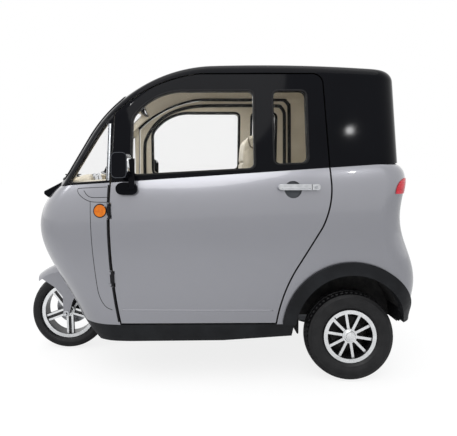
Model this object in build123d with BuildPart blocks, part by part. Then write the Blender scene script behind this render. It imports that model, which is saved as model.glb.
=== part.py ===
"""Electric three-wheeled cabin microcar: one steered front wheel, a driven rear axle and a closed cabin.

Millimetres, +X forward, +Y to the car's left, +Z up, origin on the floor under the middle of its length.
"""

from build123d import *
import os
from functools import cache
from math import atan, cos, degrees, hypot, radians, sin, sqrt, tan

os.makedirs("parts", exist_ok=True)

# Driving dimensions: running gear
half_length = 1095
wheelbase = 1600
tyre_r = 233.5
rear_track = 822
front_tyre_width = 108
rear_tyre_width = 110
front_rim_r = 167
rear_rim_r = 138
steer_rake = 14
fork_offset = 30
front_axle_x = half_length - tyre_r
rear_axle_x = front_axle_x - wheelbase
axle_z = tyre_r
wheel_y = rear_track / 2

# Driving dimensions: body walls, seams and running gaps
wall = 36
seam = 0.4
door_gap = 8
inner_clear = 6
glass_t = 5
bead_clear = 0.3
bearing_clear = 0.05
belt_height = 1075
belt_slope = 0.068
sill_top = 325
sill_bottom = 235
floor_top = 300
floor_t = 10
deck_top = 602
roof_height = 1690

# Lower body, level by level: height at mid length, nose, tail, half width, front corner radius
LOWER_LEVELS = [
    (230, 684, -1075.4, 503, 180),
    (400, 780, -1092.4, 541, 215),
    (570, 873, -1078.4, 553, 245),
    (740, 965, -1027, 557, 250),
    (907, 990, -1040, 553, 230),
    (belt_height, 884, -1008, 526, 110),
]
nose_arc_r = 900
side_arc_r = 1200
side_arc_x = 380
tail_arc_r = 5000
tail_corner_r = 150

# Cabin above the belt: side walls from cabin_low to cabin_high, then the screen and roof arcs
cabin_low = 960
cabin_high = 1700
cabin_low_half = 543
cabin_high_half = 434
cabin_low_tail = -1022
cabin_high_tail = -1018
screen_lean = 31
header_r = 800
roof_arc_r = 8500
roof_crest_x = -260
roof_crown_r = 3600
roof_edge_r = 70

# Arch, door and glass sizes in side view
arch_x = -716
arch_z = 300
arch_r = 280
flare_r = 345
flare_out = 14
bumper_front = -965
bumper_top = 440
nose_half = 225
well_half = 212
well_top = 612
well_back = 555
panel_t = 8
rear_seam_z = 1560

# Door line in side view, anticlockwise from the front foot
door_foot_x = 445
door_front_x = 503
door_front_z = 1000
door_head_x = 492
door_head_z = 1400
door_top_x = 48
door_top_z = 1610
door_corner_r = 55
door_rear_x = -606
door_top_rear_x = -594
hinge_low_z = 560
hinge_high_z = 900
hinge_pin_r = 4
hinge_knuckle_r = 8
hinge_knuckle_length = 44

# Windows in side view
window_front_x = 394
window_rear_x = -228
window_top_z = 1514
vent_front_x = -334
vent_rear_x = -500
post_x = 522

# Seats and what stands on the floor
battery_front = 100
battery_rear = -330
battery_half = 255
battery_height = 290
seat_back_top = 1350
bench_front = -442
bench_rear = -790
bench_back_top = 1130

# Front fork and handlebar, along the steering axis from the axle's level
fork_half = 78
fork_leg_r = 16
bridge_at = 330
head_tube_low = 372
head_tube_high = 480
bar_at = 880
stem_r = 20
bar_half = 270
bar_sweep = 80
bar_r = 11

axis_tilt = degrees(atan(belt_slope))


def level(height):
    """plane parallel to the belt line, which rises toward the tail"""
    tilt = radians(axis_tilt)
    return Plane((0, 0, height), x_dir=(cos(tilt), 0, -sin(tilt)), z_dir=(sin(tilt), 0, cos(tilt)))


def along(start, toward, distance):
    """point at a distance from start, on the way toward another point"""
    span = hypot(toward[0] - start[0], toward[1] - start[1])
    share = distance / span
    return (start[0] + (toward[0] - start[0]) * share, start[1] + (toward[1] - start[1]) * share)


def arc_middle(centre, first, last, radius):
    return along(centre, ((first[0] + last[0]) / 2, (first[1] + last[1]) / 2), radius)


def meeting_point(first, first_r, second, second_r):
    """the front one of the two points at set distances from two centres"""
    dx, dy = second[0] - first[0], second[1] - first[1]
    span = hypot(dx, dy)
    step = (first_r**2 - second_r**2 + span**2) / (2 * span)
    side = sqrt(first_r**2 - step**2)
    x, y = first[0] + step * dx / span, first[1] + step * dy / span
    return max((x + side * dy / span, y - side * dx / span), (x - side * dy / span, y + side * dx / span))


def plan_section(height, nose, tail, half_width, corner_r, inset):
    """plan outline at one level: nose arc, corner, side arc, straight side, tail corner and tail arc"""
    nose, tail, half_width, corner_r = nose - inset, tail + inset, half_width - inset, corner_r - inset
    nose_r = nose_arc_r - inset
    side_r = side_arc_r - inset
    tail_r = tail_arc_r - inset
    back_r = tail_corner_r - inset
    nose_centre = (nose - nose_r, 0)
    side_centre = (side_arc_x, half_width - side_r)
    tail_centre = (tail + tail_r, 0)
    corner = meeting_point(nose_centre, nose_r - corner_r, side_centre, side_r - corner_r)
    nose_end, side_start = along(nose_centre, corner, nose_r), along(side_centre, corner, side_r)
    back = (tail + tail_r - sqrt((tail_r - back_r) ** 2 - (half_width - back_r) ** 2), half_width - back_r)
    tail_end = along(tail_centre, back, tail_r)
    straight_start, straight_end = (side_arc_x, half_width), (back[0], half_width)
    with BuildSketch(level(height), mode=Mode.PRIVATE) as section:
        with BuildLine():
            ThreePointArc((nose, 0), arc_middle(nose_centre, (nose, 0), nose_end, nose_r), nose_end)
            ThreePointArc(nose_end, arc_middle(corner, nose_end, side_start, corner_r), side_start)
            side_middle = arc_middle(side_centre, side_start, straight_start, side_r)
            ThreePointArc(side_start, side_middle, straight_start)
            Line(straight_start, straight_end)
            ThreePointArc(straight_end, arc_middle(back, straight_end, tail_end, back_r), tail_end)
            ThreePointArc(tail_end, arc_middle(tail_centre, tail_end, (tail, 0), tail_r), (tail, 0))
            mirror(about=Plane.XZ)
        make_face()
    return section.sketch


@cache
def lower_form(inset):
    """solid inside the lower body's skin, moved in by inset"""
    with BuildPart(mode=Mode.PRIVATE) as form:
        for height, nose, tail, half_width, corner_r in LOWER_LEVELS:
            add(plan_section(height, nose, tail, half_width, corner_r, inset))
        loft()
    return form.part


def top_section(y, inset):
    """side outline of the screen and roof at a distance y off the middle"""
    lean = radians(screen_lean)
    base = (LOWER_LEVELS[-1][1] - y**2 / (2 * nose_arc_r) - inset / cos(lean), belt_height - belt_slope * 884)
    head_r, crest_r = header_r - inset, roof_arc_r - inset
    crest_centre = (roof_crest_x, roof_height - y**2 / (2 * roof_crown_r) - roof_arc_r)
    out = (cos(lean), sin(lean))
    up = (-sin(lean), cos(lean))
    foot = (base[0] - out[0] * head_r, base[1] - out[1] * head_r)
    reach = (foot[0] - crest_centre[0], foot[1] - crest_centre[1])
    half = reach[0] * up[0] + reach[1] * up[1]
    rise = -half + sqrt(half**2 - hypot(*reach) ** 2 + (crest_r - head_r) ** 2)
    head_centre = (foot[0] + up[0] * rise, foot[1] + up[1] * rise)
    screen_top = (head_centre[0] + out[0] * head_r, head_centre[1] + out[1] * head_r)
    roof_start = along(crest_centre, head_centre, crest_r)
    back_x = -half_length - 100
    roof_end = (back_x, crest_centre[1] + sqrt(crest_r**2 - (back_x - crest_centre[0]) ** 2))
    bottom = cabin_low - 250
    screen_foot = (base[0] + (base[1] - bottom) * tan(lean), bottom)
    with BuildSketch(Plane.XZ.offset(-y), mode=Mode.PRIVATE) as section:
        with BuildLine():
            Line(screen_foot, screen_top)
            ThreePointArc(screen_top, arc_middle(head_centre, screen_top, roof_start, head_r), roof_start)
            ThreePointArc(roof_start, arc_middle(crest_centre, roof_start, roof_end, crest_r), roof_end)
            Polyline(roof_end, (back_x, bottom), screen_foot)
        make_face()
    return section.sketch


@cache
def cabin_form(inset):
    """solid inside the cabin's skin, moved in by inset: leaning sides, rounded rails, crowned roof"""
    with BuildPart(mode=Mode.PRIVATE) as crown:
        for y in (-half_length / 2, 0, half_length / 2):
            add(top_section(y, inset))
        loft()
    with BuildPart(mode=Mode.PRIVATE) as form:
        add(plan_section(cabin_low, half_length, cabin_low_tail, cabin_low_half, 120, inset))
        add(plan_section(cabin_high, half_length, cabin_high_tail, cabin_high_half, 120, inset))
        loft(ruled=True)
        add(crown.part, mode=Mode.INTERSECT)
        upward = [face for face in form.faces() if face.normal_at().Z > 0.3]
        bounds = [edge for face in upward for edge in face.edges()]
        rails = [edge for edge in bounds if bounds.count(edge) == 1 and edge.center().X < half_length - 250]
        fillet(rails, roof_edge_r - inset)
    return form.part


def side_block(sketch, low_y, high_y):
    """prism of a side-view outline between two distances off the middle"""
    with BuildPart(mode=Mode.PRIVATE) as block:
        extrude(Plane.XZ.offset(-high_y) * sketch, amount=high_y - low_y, dir=(0, -1, 0))
    return block.part


def box_between(low, high):
    """block between two corners"""
    with BuildPart(mode=Mode.PRIVATE) as block:
        with Locations([tuple((a + b) / 2 for a, b in zip(low, high))]):
            Box(*(b - a for a, b in zip(low, high)))
    return block.part


lower_skin = lower_form(0)
lower_wall = lower_skin - lower_form(wall)
lower_room = lower_form(wall + inner_clear)
cabin_wall = cabin_form(0) - cabin_form(wall)
with BuildPart() as cabin_shell:
    add(cabin_wall)
    split(bisect_by=level(belt_height), keep=Keep.TOP)


def door_outline(grow):
    """door line in side view, moved out by grow"""
    low = sill_top + door_gap / 2
    corner = door_corner_r * (1 - sqrt(0.5))
    with BuildSketch(mode=Mode.PRIVATE) as outline:
        with BuildLine():
            ThreePointArc((door_foot_x, low), (492, 660), (door_front_x, door_front_z))
            Line((door_front_x, door_front_z), (door_head_x, door_head_z))
            ThreePointArc((door_head_x, door_head_z), (300, 1537), (door_top_x, door_top_z))
            Line((door_top_x, door_top_z), (door_top_rear_x + door_corner_r, door_top_z))
            ThreePointArc(
                (door_top_rear_x + door_corner_r, door_top_z),
                (door_top_rear_x + corner, door_top_z - corner),
                (door_top_rear_x, door_top_z - door_corner_r),
            )
            Line((door_top_rear_x, door_top_z - door_corner_r), (door_rear_x - 6, 1060))
            ThreePointArc((door_rear_x - 6, 1060), (-604, 930), (-564, 816))
            Line((-564, 816), (-459, 647))
            ThreePointArc((-459, 647), (-382, 500), (-339, low))
            Line((-339, low), (door_foot_x, low))
        make_face()
        offset(amount=grow)
    return outline.sketch


def polygon(*points):
    """side-view outline with straight sides"""
    with BuildSketch(mode=Mode.PRIVATE) as outline:
        with BuildLine():
            Polyline(*points, close=True)
        make_face()
    return outline.sketch


def rounded_polygon(radius, *points):
    with BuildSketch(mode=Mode.PRIVATE) as outline:
        with BuildLine():
            Polyline(*points, close=True)
        make_face()
        fillet(outline.vertices(), radius)
    return outline.sketch


def ring(inner, outer):
    with BuildSketch(mode=Mode.PRIVATE) as outline:
        with Locations((arch_x, arch_z)):
            Circle(outer)
            Circle(inner, mode=Mode.SUBTRACT)
    return outline.sketch


def disc(radius, x, z):
    with BuildSketch(mode=Mode.PRIVATE) as outline:
        with Locations((x, z)):
            Circle(radius)
    return outline.sketch


far = 800
door_hole = side_block(door_outline(door_gap / 2), -far, far)
door_left_fill = side_block(door_outline(-door_gap / 2), 0, far)
arch_hole = side_block(disc(flare_r + seam, arch_x, arch_z), -far, far)
bumper_zone = box_between((-1200, -far, 0), (bumper_front, far, bumper_top))

# Side windows: the door's main and vent panes and the fixed triangle ahead of the door
with BuildSketch() as window_sketch:
    with BuildLine():
        Line((window_rear_x, 1117), (window_front_x, 1083))
        Line((window_front_x, 1083), (window_front_x, 1372))
        ThreePointArc((window_front_x, 1372), (311, 1459), (110, window_top_z))
        Line((110, window_top_z), (window_rear_x, window_top_z))
        Line((window_rear_x, window_top_z), (window_rear_x, 1117))
    make_face()
    fillet(window_sketch.vertices(), 26)
main_window = window_sketch.sketch
vent_window = rounded_polygon(
    28, (vent_front_x, 1138), (vent_front_x, window_top_z), (vent_rear_x, window_top_z), (vent_rear_x, 1145)
)
triangle_window = rounded_polygon(10, (post_x, 1052), (post_x, 1370), (728, 1038))


def lamp_pocket(outline_block, front, back):
    """the part of a block that lies between two depths of the lower skin"""
    return (lower_form(front) & outline_block) - lower_form(back)


marker_r = 30
marker_x = 550
marker_z = 900
marker_depth = 14
marker_block = side_block(disc(marker_r, marker_x, marker_z), 300, far)
marker_hole = side_block(disc(marker_r + seam, marker_x, marker_z), 300, far)
tail_lamp_low = 985
tail_lamp_high = 1064
tail_lamp_front = -938
tail_lamp_inner_y = 330


def tail_lamp_block(grow):
    """prism of a tail lamp, its front edge bowed in side view"""
    low, high, front = tail_lamp_low - grow, tail_lamp_high + grow, tail_lamp_front + grow
    with BuildSketch(mode=Mode.PRIVATE) as outline:
        with BuildLine():
            ThreePointArc((front - 65, high), (front - 22, high - 24), (front, low))
            Polyline((front, low), (-1200, low), (-1200, high), (front - 65, high))
        make_face()
    return side_block(outline.sketch, tail_lamp_inner_y - grow, far)


tail_lamp_box = tail_lamp_block(0)
tail_lamp_hole = tail_lamp_block(seam)
head_lamp_y = 135
head_lamp_z = 800
head_lamp_r = 62


def head_lamp_block(radius):
    with BuildPart(mode=Mode.PRIVATE) as block:
        with BuildSketch(Plane.YZ.offset(700)):
            with Locations((head_lamp_y, head_lamp_z), (-head_lamp_y, head_lamp_z)):
                Circle(radius)
        extrude(amount=600)
    return block.part


# Door hinges: pins and ears that stay on the fenders, in pockets that leave the knuckles room
hinge_low = (484, 549, hinge_low_z)
hinge_high = (503, 545, hinge_high_z)
hinge_dir = tuple(high - low for low, high in zip(hinge_low, hinge_high))
knuckle_half = hinge_knuckle_length / 2
ear_t = 11
ear_length = 24
pocket_r = hinge_knuckle_r + 5
pocket_half = knuckle_half + 18


def hinge_plane(point):
    return Plane(point, x_dir=(1, 0, 0), z_dir=hinge_dir)


with BuildPart() as hinge_pockets:
    for point in (hinge_low, hinge_high):
        with BuildSketch(hinge_plane(point).offset(-pocket_half)):
            Circle(pocket_r)
        extrude(amount=2 * pocket_half)

with BuildPart() as hinges_left:
    for point in (hinge_low, hinge_high):
        at = hinge_plane(point)
        with BuildSketch(at.offset(-knuckle_half - ear_t - 1)):
            Circle(hinge_pin_r)
        extrude(amount=hinge_knuckle_length + 2 * ear_t + 2)
        for start in (-knuckle_half - ear_t - 1, knuckle_half + 1):
            with BuildSketch(at.offset(start)):
                Circle(hinge_knuckle_r)
                with Locations((ear_length / 2, -hinge_knuckle_r)):
                    Rectangle(ear_length, 2 * hinge_knuckle_r)
            extrude(amount=ear_t)

with BuildPart() as door_hinges:
    add(hinges_left.part)
    mirror(about=Plane.XZ)
door_hinges.part.label = "door_hinges"

# Front panels
front_zone = box_between((100, nose_half + seam / 2, sill_top), (1200, far, 1200))
with BuildPart() as fender_left:
    add(lower_wall)
    add(front_zone, mode=Mode.INTERSECT)
    add(door_hole, mode=Mode.SUBTRACT)
    add(lamp_pocket(marker_hole, -20, marker_depth + seam), mode=Mode.SUBTRACT)
    add(hinge_pockets.part, mode=Mode.SUBTRACT)
    add(hinges_left.part, mode=Mode.SUBTRACT)
fender_left.part.label = "fender_left"

with BuildPart() as nose_panel:
    add(lower_wall)
    nose_edge = nose_half - seam / 2
    add(box_between((100, -nose_edge, sill_top), (1200, nose_edge, 1200)), mode=Mode.INTERSECT)
    with BuildSketch(Plane.YZ.offset(100)):
        with Locations((0, 560 - 300)):
            RectangleRounded(2 * (well_half - 10), 600, 90)
    extrude(amount=1100, mode=Mode.SUBTRACT)
    add(lamp_pocket(head_lamp_block(head_lamp_r + seam), -20, 24 + seam), mode=Mode.SUBTRACT)
nose_panel.part.label = "nose_panel"

# Rear panels
with BuildPart() as rear_shell:
    add(lower_wall)
    add(box_between((-1200, -far, sill_top), (100, far, 1200)), mode=Mode.INTERSECT)
    add(door_hole, mode=Mode.SUBTRACT)
    add(arch_hole, mode=Mode.SUBTRACT)

tail_half = 400
with BuildPart() as quarter_left:
    add(rear_shell.part)
    add(box_between((-1200, tail_half + seam / 2, 0), (100, far, 1200)), mode=Mode.INTERSECT)
    add(bumper_zone, mode=Mode.SUBTRACT)
    add(lamp_pocket(tail_lamp_hole, -20, marker_depth + seam), mode=Mode.SUBTRACT)
quarter_left.part.label = "quarter_left"

with BuildPart() as tail_panel:
    add(rear_shell.part)
    tail_edge = tail_half - seam / 2
    add(box_between((-1200, -tail_edge, bumper_top), (-900, tail_edge, 1200)), mode=Mode.INTERSECT)
    both_holes = lamp_pocket(tail_lamp_hole, -20, marker_depth + seam)
    add(both_holes, mode=Mode.SUBTRACT)
    add(mirror(both_holes, about=Plane.XZ, mode=Mode.PRIVATE), mode=Mode.SUBTRACT)
tail_panel.part.label = "tail_panel"

with BuildSketch() as foot_outline:
    with BuildLine():
        ThreePointArc((-1097, 420), (-1083, 372), (-1048, sill_top))
        Polyline((-1048, sill_top), (-1048, 200), (-1200, 200), (-1200, 420), (-1097, 420))
    make_face()
bumper_foot = side_block(foot_outline.sketch, -far, far)

with BuildPart() as rear_bumper:
    add(rear_shell.part)
    add(bumper_zone, mode=Mode.INTERSECT)
    add(bumper_foot, mode=Mode.SUBTRACT)
rear_bumper.part.label = "rear_bumper"

with BuildPart() as flare_left:
    add(lower_form(-flare_out))
    add(lower_form(wall), mode=Mode.SUBTRACT)
    add(side_block(ring(arch_r, flare_r), 400, far), mode=Mode.INTERSECT)
    add(box_between((-1200, 400, sill_top), (0, far, 1200)), mode=Mode.INTERSECT)

with BuildPart() as sill_left:
    add(lower_skin)
    add(lower_form(wall + 4), mode=Mode.SUBTRACT)
    sill_line = polygon((-430, sill_top), (655, sill_top), (560, sill_bottom), (-418, sill_bottom))
    add(side_block(sill_line, 250, far), mode=Mode.INTERSECT)

# Cabin panels
def front_block(radius, start_x, depth, *points):
    """prism of a front-view outline, from start_x on"""
    with BuildPart(mode=Mode.PRIVATE) as block:
        with BuildSketch(Plane.YZ.offset(start_x)) as outline:
            with BuildLine():
                Polyline(*points, close=True)
            make_face()
            fillet(outline.vertices(), radius)
        extrude(amount=depth)
    return block.part


def screen_block(shrink):
    low, high = 1062 + shrink, 1500 - shrink
    foot = 400 - shrink
    head = 362 - shrink
    return front_block(40, 200, 900, (-foot, low), (foot, low), (head, high), (-head, high))


def back_block(shrink):
    low, high = 1185 + shrink, 1490 - shrink
    foot = 330 - shrink
    head = 300 - shrink
    return front_block(45, -1200, 500, (-foot, low), (foot, low), (head, high), (-head, high))


def pane(depth, block):
    """curved glass at a depth under the cabin's skin"""
    return (cabin_form(depth) & block) - cabin_form(depth + glass_t)


def trimmed(outline):
    """outline of a pane, a seam smaller than its opening"""
    with BuildSketch(mode=Mode.PRIVATE) as smaller:
        add(outline)
        offset(amount=-seam)
    return smaller.sketch


rear_zone = box_between((-1200, -far, 0), (door_rear_x - 40, far, rear_seam_z))
triangle_hole = side_block(triangle_window, -far, far)
with BuildPart() as roof:
    add(cabin_shell.part)
    add(door_hole, mode=Mode.SUBTRACT)
    add(rear_zone, mode=Mode.SUBTRACT)
    add(screen_block(0), mode=Mode.SUBTRACT)
    add(triangle_hole, mode=Mode.SUBTRACT)
roof.part.label = "roof"

with BuildPart() as rear_upper:
    add(cabin_shell.part)
    add(rear_zone, mode=Mode.INTERSECT)
    add(door_hole, mode=Mode.SUBTRACT)
    add(back_block(0), mode=Mode.SUBTRACT)
rear_upper.part.label = "rear_upper"

with BuildPart() as windscreen:
    add(pane(3, screen_block(seam)))
windscreen.part.label = "windscreen"

with BuildPart() as rear_window:
    add(pane(3, back_block(seam)))
rear_window.part.label = "rear_window"

with BuildPart() as triangle_glass:
    add(pane(6, side_block(trimmed(triangle_window), 200, far)))
    mirror(about=Plane.XZ)
triangle_glass.part.label = "triangle_glass"

# Doors, built on the left and mirrored; a round finger recess lies behind the handle
handle_x = -447
handle_z = 1020
handle_length = 210
grip_x = -420
grip_z = 1007
grip_r = 43
grip_depth = 10
with BuildPart() as door_panel_left:
    add(lower_wall)
    add(door_left_fill, mode=Mode.INTERSECT)
    add(hinge_pockets.part, mode=Mode.SUBTRACT)
    add(lamp_pocket(side_block(disc(grip_r, grip_x, grip_z), 300, far), -20, grip_depth), mode=Mode.SUBTRACT)
    for point in (hinge_low, hinge_high):
        at = hinge_plane(point)
        with BuildSketch(at.offset(-knuckle_half)):
            Circle(hinge_knuckle_r)
            with Locations((-15, -hinge_knuckle_r + 2)):
                Rectangle(30, 4)
        extrude(amount=hinge_knuckle_length)
        with BuildSketch(at.offset(-knuckle_half)):
            Circle(hinge_pin_r + bearing_clear)
        extrude(amount=hinge_knuckle_length, mode=Mode.SUBTRACT)
door_panel_left.part.label = "door_panel_left"

with BuildPart() as door_frame_left:
    add(cabin_shell.part)
    add(door_left_fill, mode=Mode.INTERSECT)
    add(side_block(main_window, 0, far), mode=Mode.SUBTRACT)
    add(side_block(vent_window, 0, far), mode=Mode.SUBTRACT)
door_frame_left.part.label = "door_frame_left"

with BuildPart() as door_glass_left:
    add(pane(9, side_block(trimmed(main_window), 200, far)))
    add(pane(9, side_block(trimmed(vent_window), 200, far)))
door_glass_left.part.label = "door_glass_left"

with BuildPart() as door_handle_left:
    with BuildSketch(Plane.XZ.offset(-570)):
        with Locations((handle_x, handle_z)):
            SlotOverall(handle_length, 30)
    extrude(amount=12)
    for end in (-1, 1):
        with BuildSketch(Plane.XZ.offset(-560)):
            with Locations((handle_x + end * (handle_length / 2 - 15), handle_z)):
                Circle(11)
        extrude(amount=22)
    add(lower_skin, mode=Mode.SUBTRACT)
door_handle_left.part.label = "door_handle_left"

mirror_x = 412
mirror_z = 1012
with BuildPart() as door_mirror_left:
    with BuildSketch(Plane.XZ.offset(-566)):
        with Locations((mirror_x, mirror_z)):
            SlotOverall(110, 60)
    extrude(amount=40)
    add(lower_skin, mode=Mode.SUBTRACT)
    with BuildSketch(Plane.XY.offset(mirror_z)):
        with Locations((385, 572)):
            RectangleRounded(30, 24, 8)
    extrude(amount=150)
    with BuildSketch(Plane.XZ.offset(-695)):
        with Locations((425, 1128)):
            RectangleRounded(76, 124, 26)
    extrude(amount=125)
door_mirror_left.part.label = "door_mirror_left"

# Lamps
with BuildPart() as side_markers:
    add(lamp_pocket(marker_block, -5, marker_depth))
    mirror(about=Plane.XZ)
side_markers.part.label = "side_markers"

with BuildPart() as tail_lamps:
    add(lamp_pocket(tail_lamp_box, -4, marker_depth))
    mirror(about=Plane.XZ)
tail_lamps.part.label = "tail_lamps"

with BuildPart() as headlamps:
    add(lamp_pocket(head_lamp_block(head_lamp_r), -3, 24))
headlamps.part.label = "headlamps"

with BuildPart() as arch_flares:
    add(flare_left.part)
    mirror(about=Plane.XZ)
arch_flares.part.label = "arch_flares"

with BuildPart() as side_sills:
    add(sill_left.part)
    mirror(about=Plane.XZ)
side_sills.part.label = "side_sills"

# Steering frame: the axle lies fork_offset ahead of the axis
rake = radians(steer_rake)
axis_up = (-sin(rake), 0, cos(rake))
axis_front = (cos(rake), 0, sin(rake))
axis_foot = (front_axle_x - fork_offset * axis_front[0], 0, axle_z - fork_offset * axis_front[2])


def steer_plane(height):
    """plane square to the steering axis, its height measured from the axle's level"""
    point = tuple(foot + height * up for foot, up in zip(axis_foot, axis_up))
    return Plane(point, x_dir=axis_front, z_dir=axis_up)


def steer_rod(radius, low, high):
    with BuildPart(mode=Mode.PRIVATE) as rod:
        with BuildSketch(steer_plane(low)):
            Circle(radius)
        extrude(amount=high - low)
    return rod.part


# Floor with the front wheel well and the hole for the steering post, and rear deck
floor_low = floor_top - floor_t
post_half = 25
post_front = 535
post_back = 485
with BuildPart() as floor_pan:
    add(box_between((-430, -far, floor_low), (720, far, floor_top)))
    well_side = well_half + panel_t
    add(box_between((well_back - panel_t, -well_side, floor_low), (1100, well_side, well_top)))
    add(lower_form(wall + 4 + seam), mode=Mode.INTERSECT)
    add(box_between((well_back, -well_half, 0), (1200, well_half, well_top - panel_t)), mode=Mode.SUBTRACT)
    add(steer_rod(42, 200, 700), mode=Mode.SUBTRACT)
    post_side = post_half + seam
    post_hole = ((post_back - seam, -post_side, 0), (post_front + seam, post_side, floor_top + 1))
    add(box_between(*post_hole), mode=Mode.SUBTRACT)
floor_pan.part.label = "floor_pan"

deck_low = deck_top - floor_t
house_r = deck_low - arch_z + 4
house_y = 300
with BuildPart() as rear_deck:
    add(box_between((-1100, -far, deck_low), (-430, far, deck_top)))
    add(box_between((-440, -far, floor_top), (-430, far, deck_top)))
    house = side_block(ring(house_r - panel_t - 4, house_r), house_y, far)
    house_wall = side_block(disc(house_r, arch_x, arch_z), house_y, house_y + panel_t)
    house_zone = box_between((-1100, 0, floor_top), (-430, far, deck_top))
    for shape in (house & house_zone, house_wall & house_zone):
        add(shape)
        add(mirror(shape, about=Plane.XZ, mode=Mode.PRIVATE))
    add(lower_room, mode=Mode.INTERSECT)
rear_deck.part.label = "rear_deck"

# Ladder frame with its steering head
rail_y = 230
rail_w = 50
rail_h = 45
rail_top = floor_low
kick_top = 465
kick_x = -445
rail_end = -1030
eye_r = 9
eye_outer_r = 20
eye_t = 12
cross_w = 50
rail_line = polygon(
    (post_front, rail_top), (kick_x, rail_top), (kick_x - 90, kick_top), (rail_end, kick_top),
    (rail_end, kick_top - rail_h), (kick_x - 115, kick_top - rail_h), (kick_x - 25, rail_top - rail_h),
    (post_front, rail_top - rail_h),
)
post_line = polygon(
    (post_front, rail_top), (post_front, 640), (735, 640), (722, 695), (post_back, 695), (post_back, rail_top)
)
with BuildPart() as frame_rails:
    for side in (-1, 1):
        add(side_block(rail_line, side * rail_y - rail_w / 2, side * rail_y + rail_w / 2))
frame_rails.part.label = "frame_rails"

# Cross members between the rails: rear edge, top, drop of the lashing eye's hole below the member
CROSS_MEMBERS = [
    (post_front - cross_w, rail_top, 22),
    (30, rail_top, None),
    (-400, rail_top, None),
    (rail_end, kick_top, 140),
]
with BuildPart() as cross_members:
    for low_x, top, eye_drop in CROSS_MEMBERS:
        half = rail_y - rail_w / 2
        add(box_between((low_x, -half, top - rail_h), (low_x + cross_w, half, top)))
        if eye_drop:
            foot = top - rail_h
            with BuildSketch(Plane.XZ.offset(-eye_t / 2)):
                with Locations((low_x + cross_w / 2, foot - eye_drop / 2)):
                    Rectangle(2 * eye_outer_r, eye_drop)
                with Locations((low_x + cross_w / 2, foot - eye_drop)):
                    Circle(eye_outer_r)
                    Circle(eye_r, mode=Mode.SUBTRACT)
            extrude(amount=eye_t)
cross_members.part.label = "cross_members"

with BuildPart() as steering_head:
    add(side_block(post_line, -post_half, post_half))
    add(steer_rod(32, head_tube_low, head_tube_high))
    add(steer_rod(stem_r + bearing_clear, 0, 900), mode=Mode.SUBTRACT)
steering_head.part.label = "steering_head"

# Rear axle, motor, springs and dampers
axle_tube_r = 32
hub_face = wheel_y - 60
spindle_r = 14
with BuildPart() as rear_axle:
    with BuildSketch(Plane.XZ):
        with Locations((rear_axle_x, axle_z)):
            Circle(axle_tube_r)
    extrude(amount=hub_face, both=True)
    with BuildSketch(Plane.XZ):
        with Locations((rear_axle_x, axle_z)):
            Circle(105)
    extrude(amount=75, both=True)
    for side in (-1, 1):
        with BuildSketch(Plane.XZ.offset(-side * hub_face)):
            with Locations((rear_axle_x, axle_z)):
                Circle(92)
        extrude(amount=side * 24)
        with BuildSketch(Plane.XZ.offset(-side * hub_face)):
            with Locations((rear_axle_x, axle_z)):
                Circle(spindle_r)
        extrude(amount=-side * 85)
rear_axle.part.label = "rear_axle"

motor_r = 92
motor_length = 165
with BuildPart() as drive_motor:
    with BuildSketch(Plane.YZ.offset(rear_axle_x + 100)):
        with Locations((0, axle_z + 20)):
            Circle(motor_r)
    extrude(amount=motor_length)
    add(rear_axle.part, mode=Mode.SUBTRACT)
drive_motor.part.label = "drive_motor"

spring_t = 24
spring_low = axle_z + axle_tube_r
spring_eye_z = 350
spring_front = -580
spring_rear = -1010
with BuildPart() as spring_left:
    with BuildSketch(Plane.XZ.offset(-rail_y - rail_w / 2)):
        with BuildLine():
            upper_middle = (rear_axle_x, spring_low + spring_t)
            ThreePointArc((spring_front, spring_eye_z), upper_middle, (spring_rear, spring_eye_z))
            Line((spring_rear, spring_eye_z), (spring_rear, spring_eye_z - spring_t))
            under_z = spring_eye_z - spring_t
            ThreePointArc((spring_rear, under_z), (rear_axle_x, spring_low), (spring_front, under_z))
            Line((spring_front, spring_eye_z - spring_t), (spring_front, spring_eye_z))
        make_face()
    extrude(amount=rail_w)
    for end_x in (spring_front, spring_rear):
        eye_low = (end_x - 12, rail_y - rail_w / 2, spring_eye_z - spring_t)
        add(box_between(eye_low, (end_x + 12, rail_y + rail_w / 2, kick_top - rail_h)))
    add(rear_axle.part, mode=Mode.SUBTRACT)

damper_y = 277
damper_r = 19
with BuildPart() as damper_left:
    with BuildSketch(Plane.XY.offset(axle_z + 20)):
        with Locations((rear_axle_x + 8, damper_y)):
            Circle(damper_r)
    extrude(amount=deck_low - axle_z - 20)
    add(rear_axle.part, mode=Mode.SUBTRACT)

with BuildPart() as rear_suspension:
    add(spring_left.part)
    add(damper_left.part)
    mirror(about=Plane.XZ)
rear_suspension.part.label = "rear_suspension"

# Cabin fittings
battery_top = floor_top + battery_height
with BuildPart() as battery_box:
    add(box_between((battery_rear, -battery_half, floor_top), (battery_front, battery_half, battery_top)))
    fillet(battery_box.edges().filter_by(Axis.Z), 20)
battery_box.part.label = "battery_box"

cushion_top = battery_top + 105
with BuildPart() as seat_cushion:
    add(box_between((-175, -220, battery_top), (235, 220, cushion_top)))
    fillet(seat_cushion.edges().filter_by(Axis.Z), 60)
    fillet(seat_cushion.faces().sort_by(Axis.Z)[-1].edges(), 30)
seat_cushion.part.label = "seat_cushion"

with BuildPart() as seat_back:
    seat_foot = battery_top + bead_clear
    seat_line = rounded_polygon(
        28,
        (-180, seat_foot),
        (-285, seat_foot),
        (-330, seat_back_top - 30),
        (-300, seat_back_top),
        (-232, seat_back_top),
    )
    add(side_block(seat_line, -215, 215))
    fillet(seat_back.edges().filter_by(lambda edge: abs(edge.center().Y) > 214), 20)
seat_back.part.label = "seat_back"

with BuildPart() as bench_cushion:
    add(box_between((bench_rear, -430, deck_top), (bench_front, 430, deck_top + 100)))
    fillet(bench_cushion.faces().sort_by(Axis.Z)[-1].edges(), 30)
bench_cushion.part.label = "bench_cushion"

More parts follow.
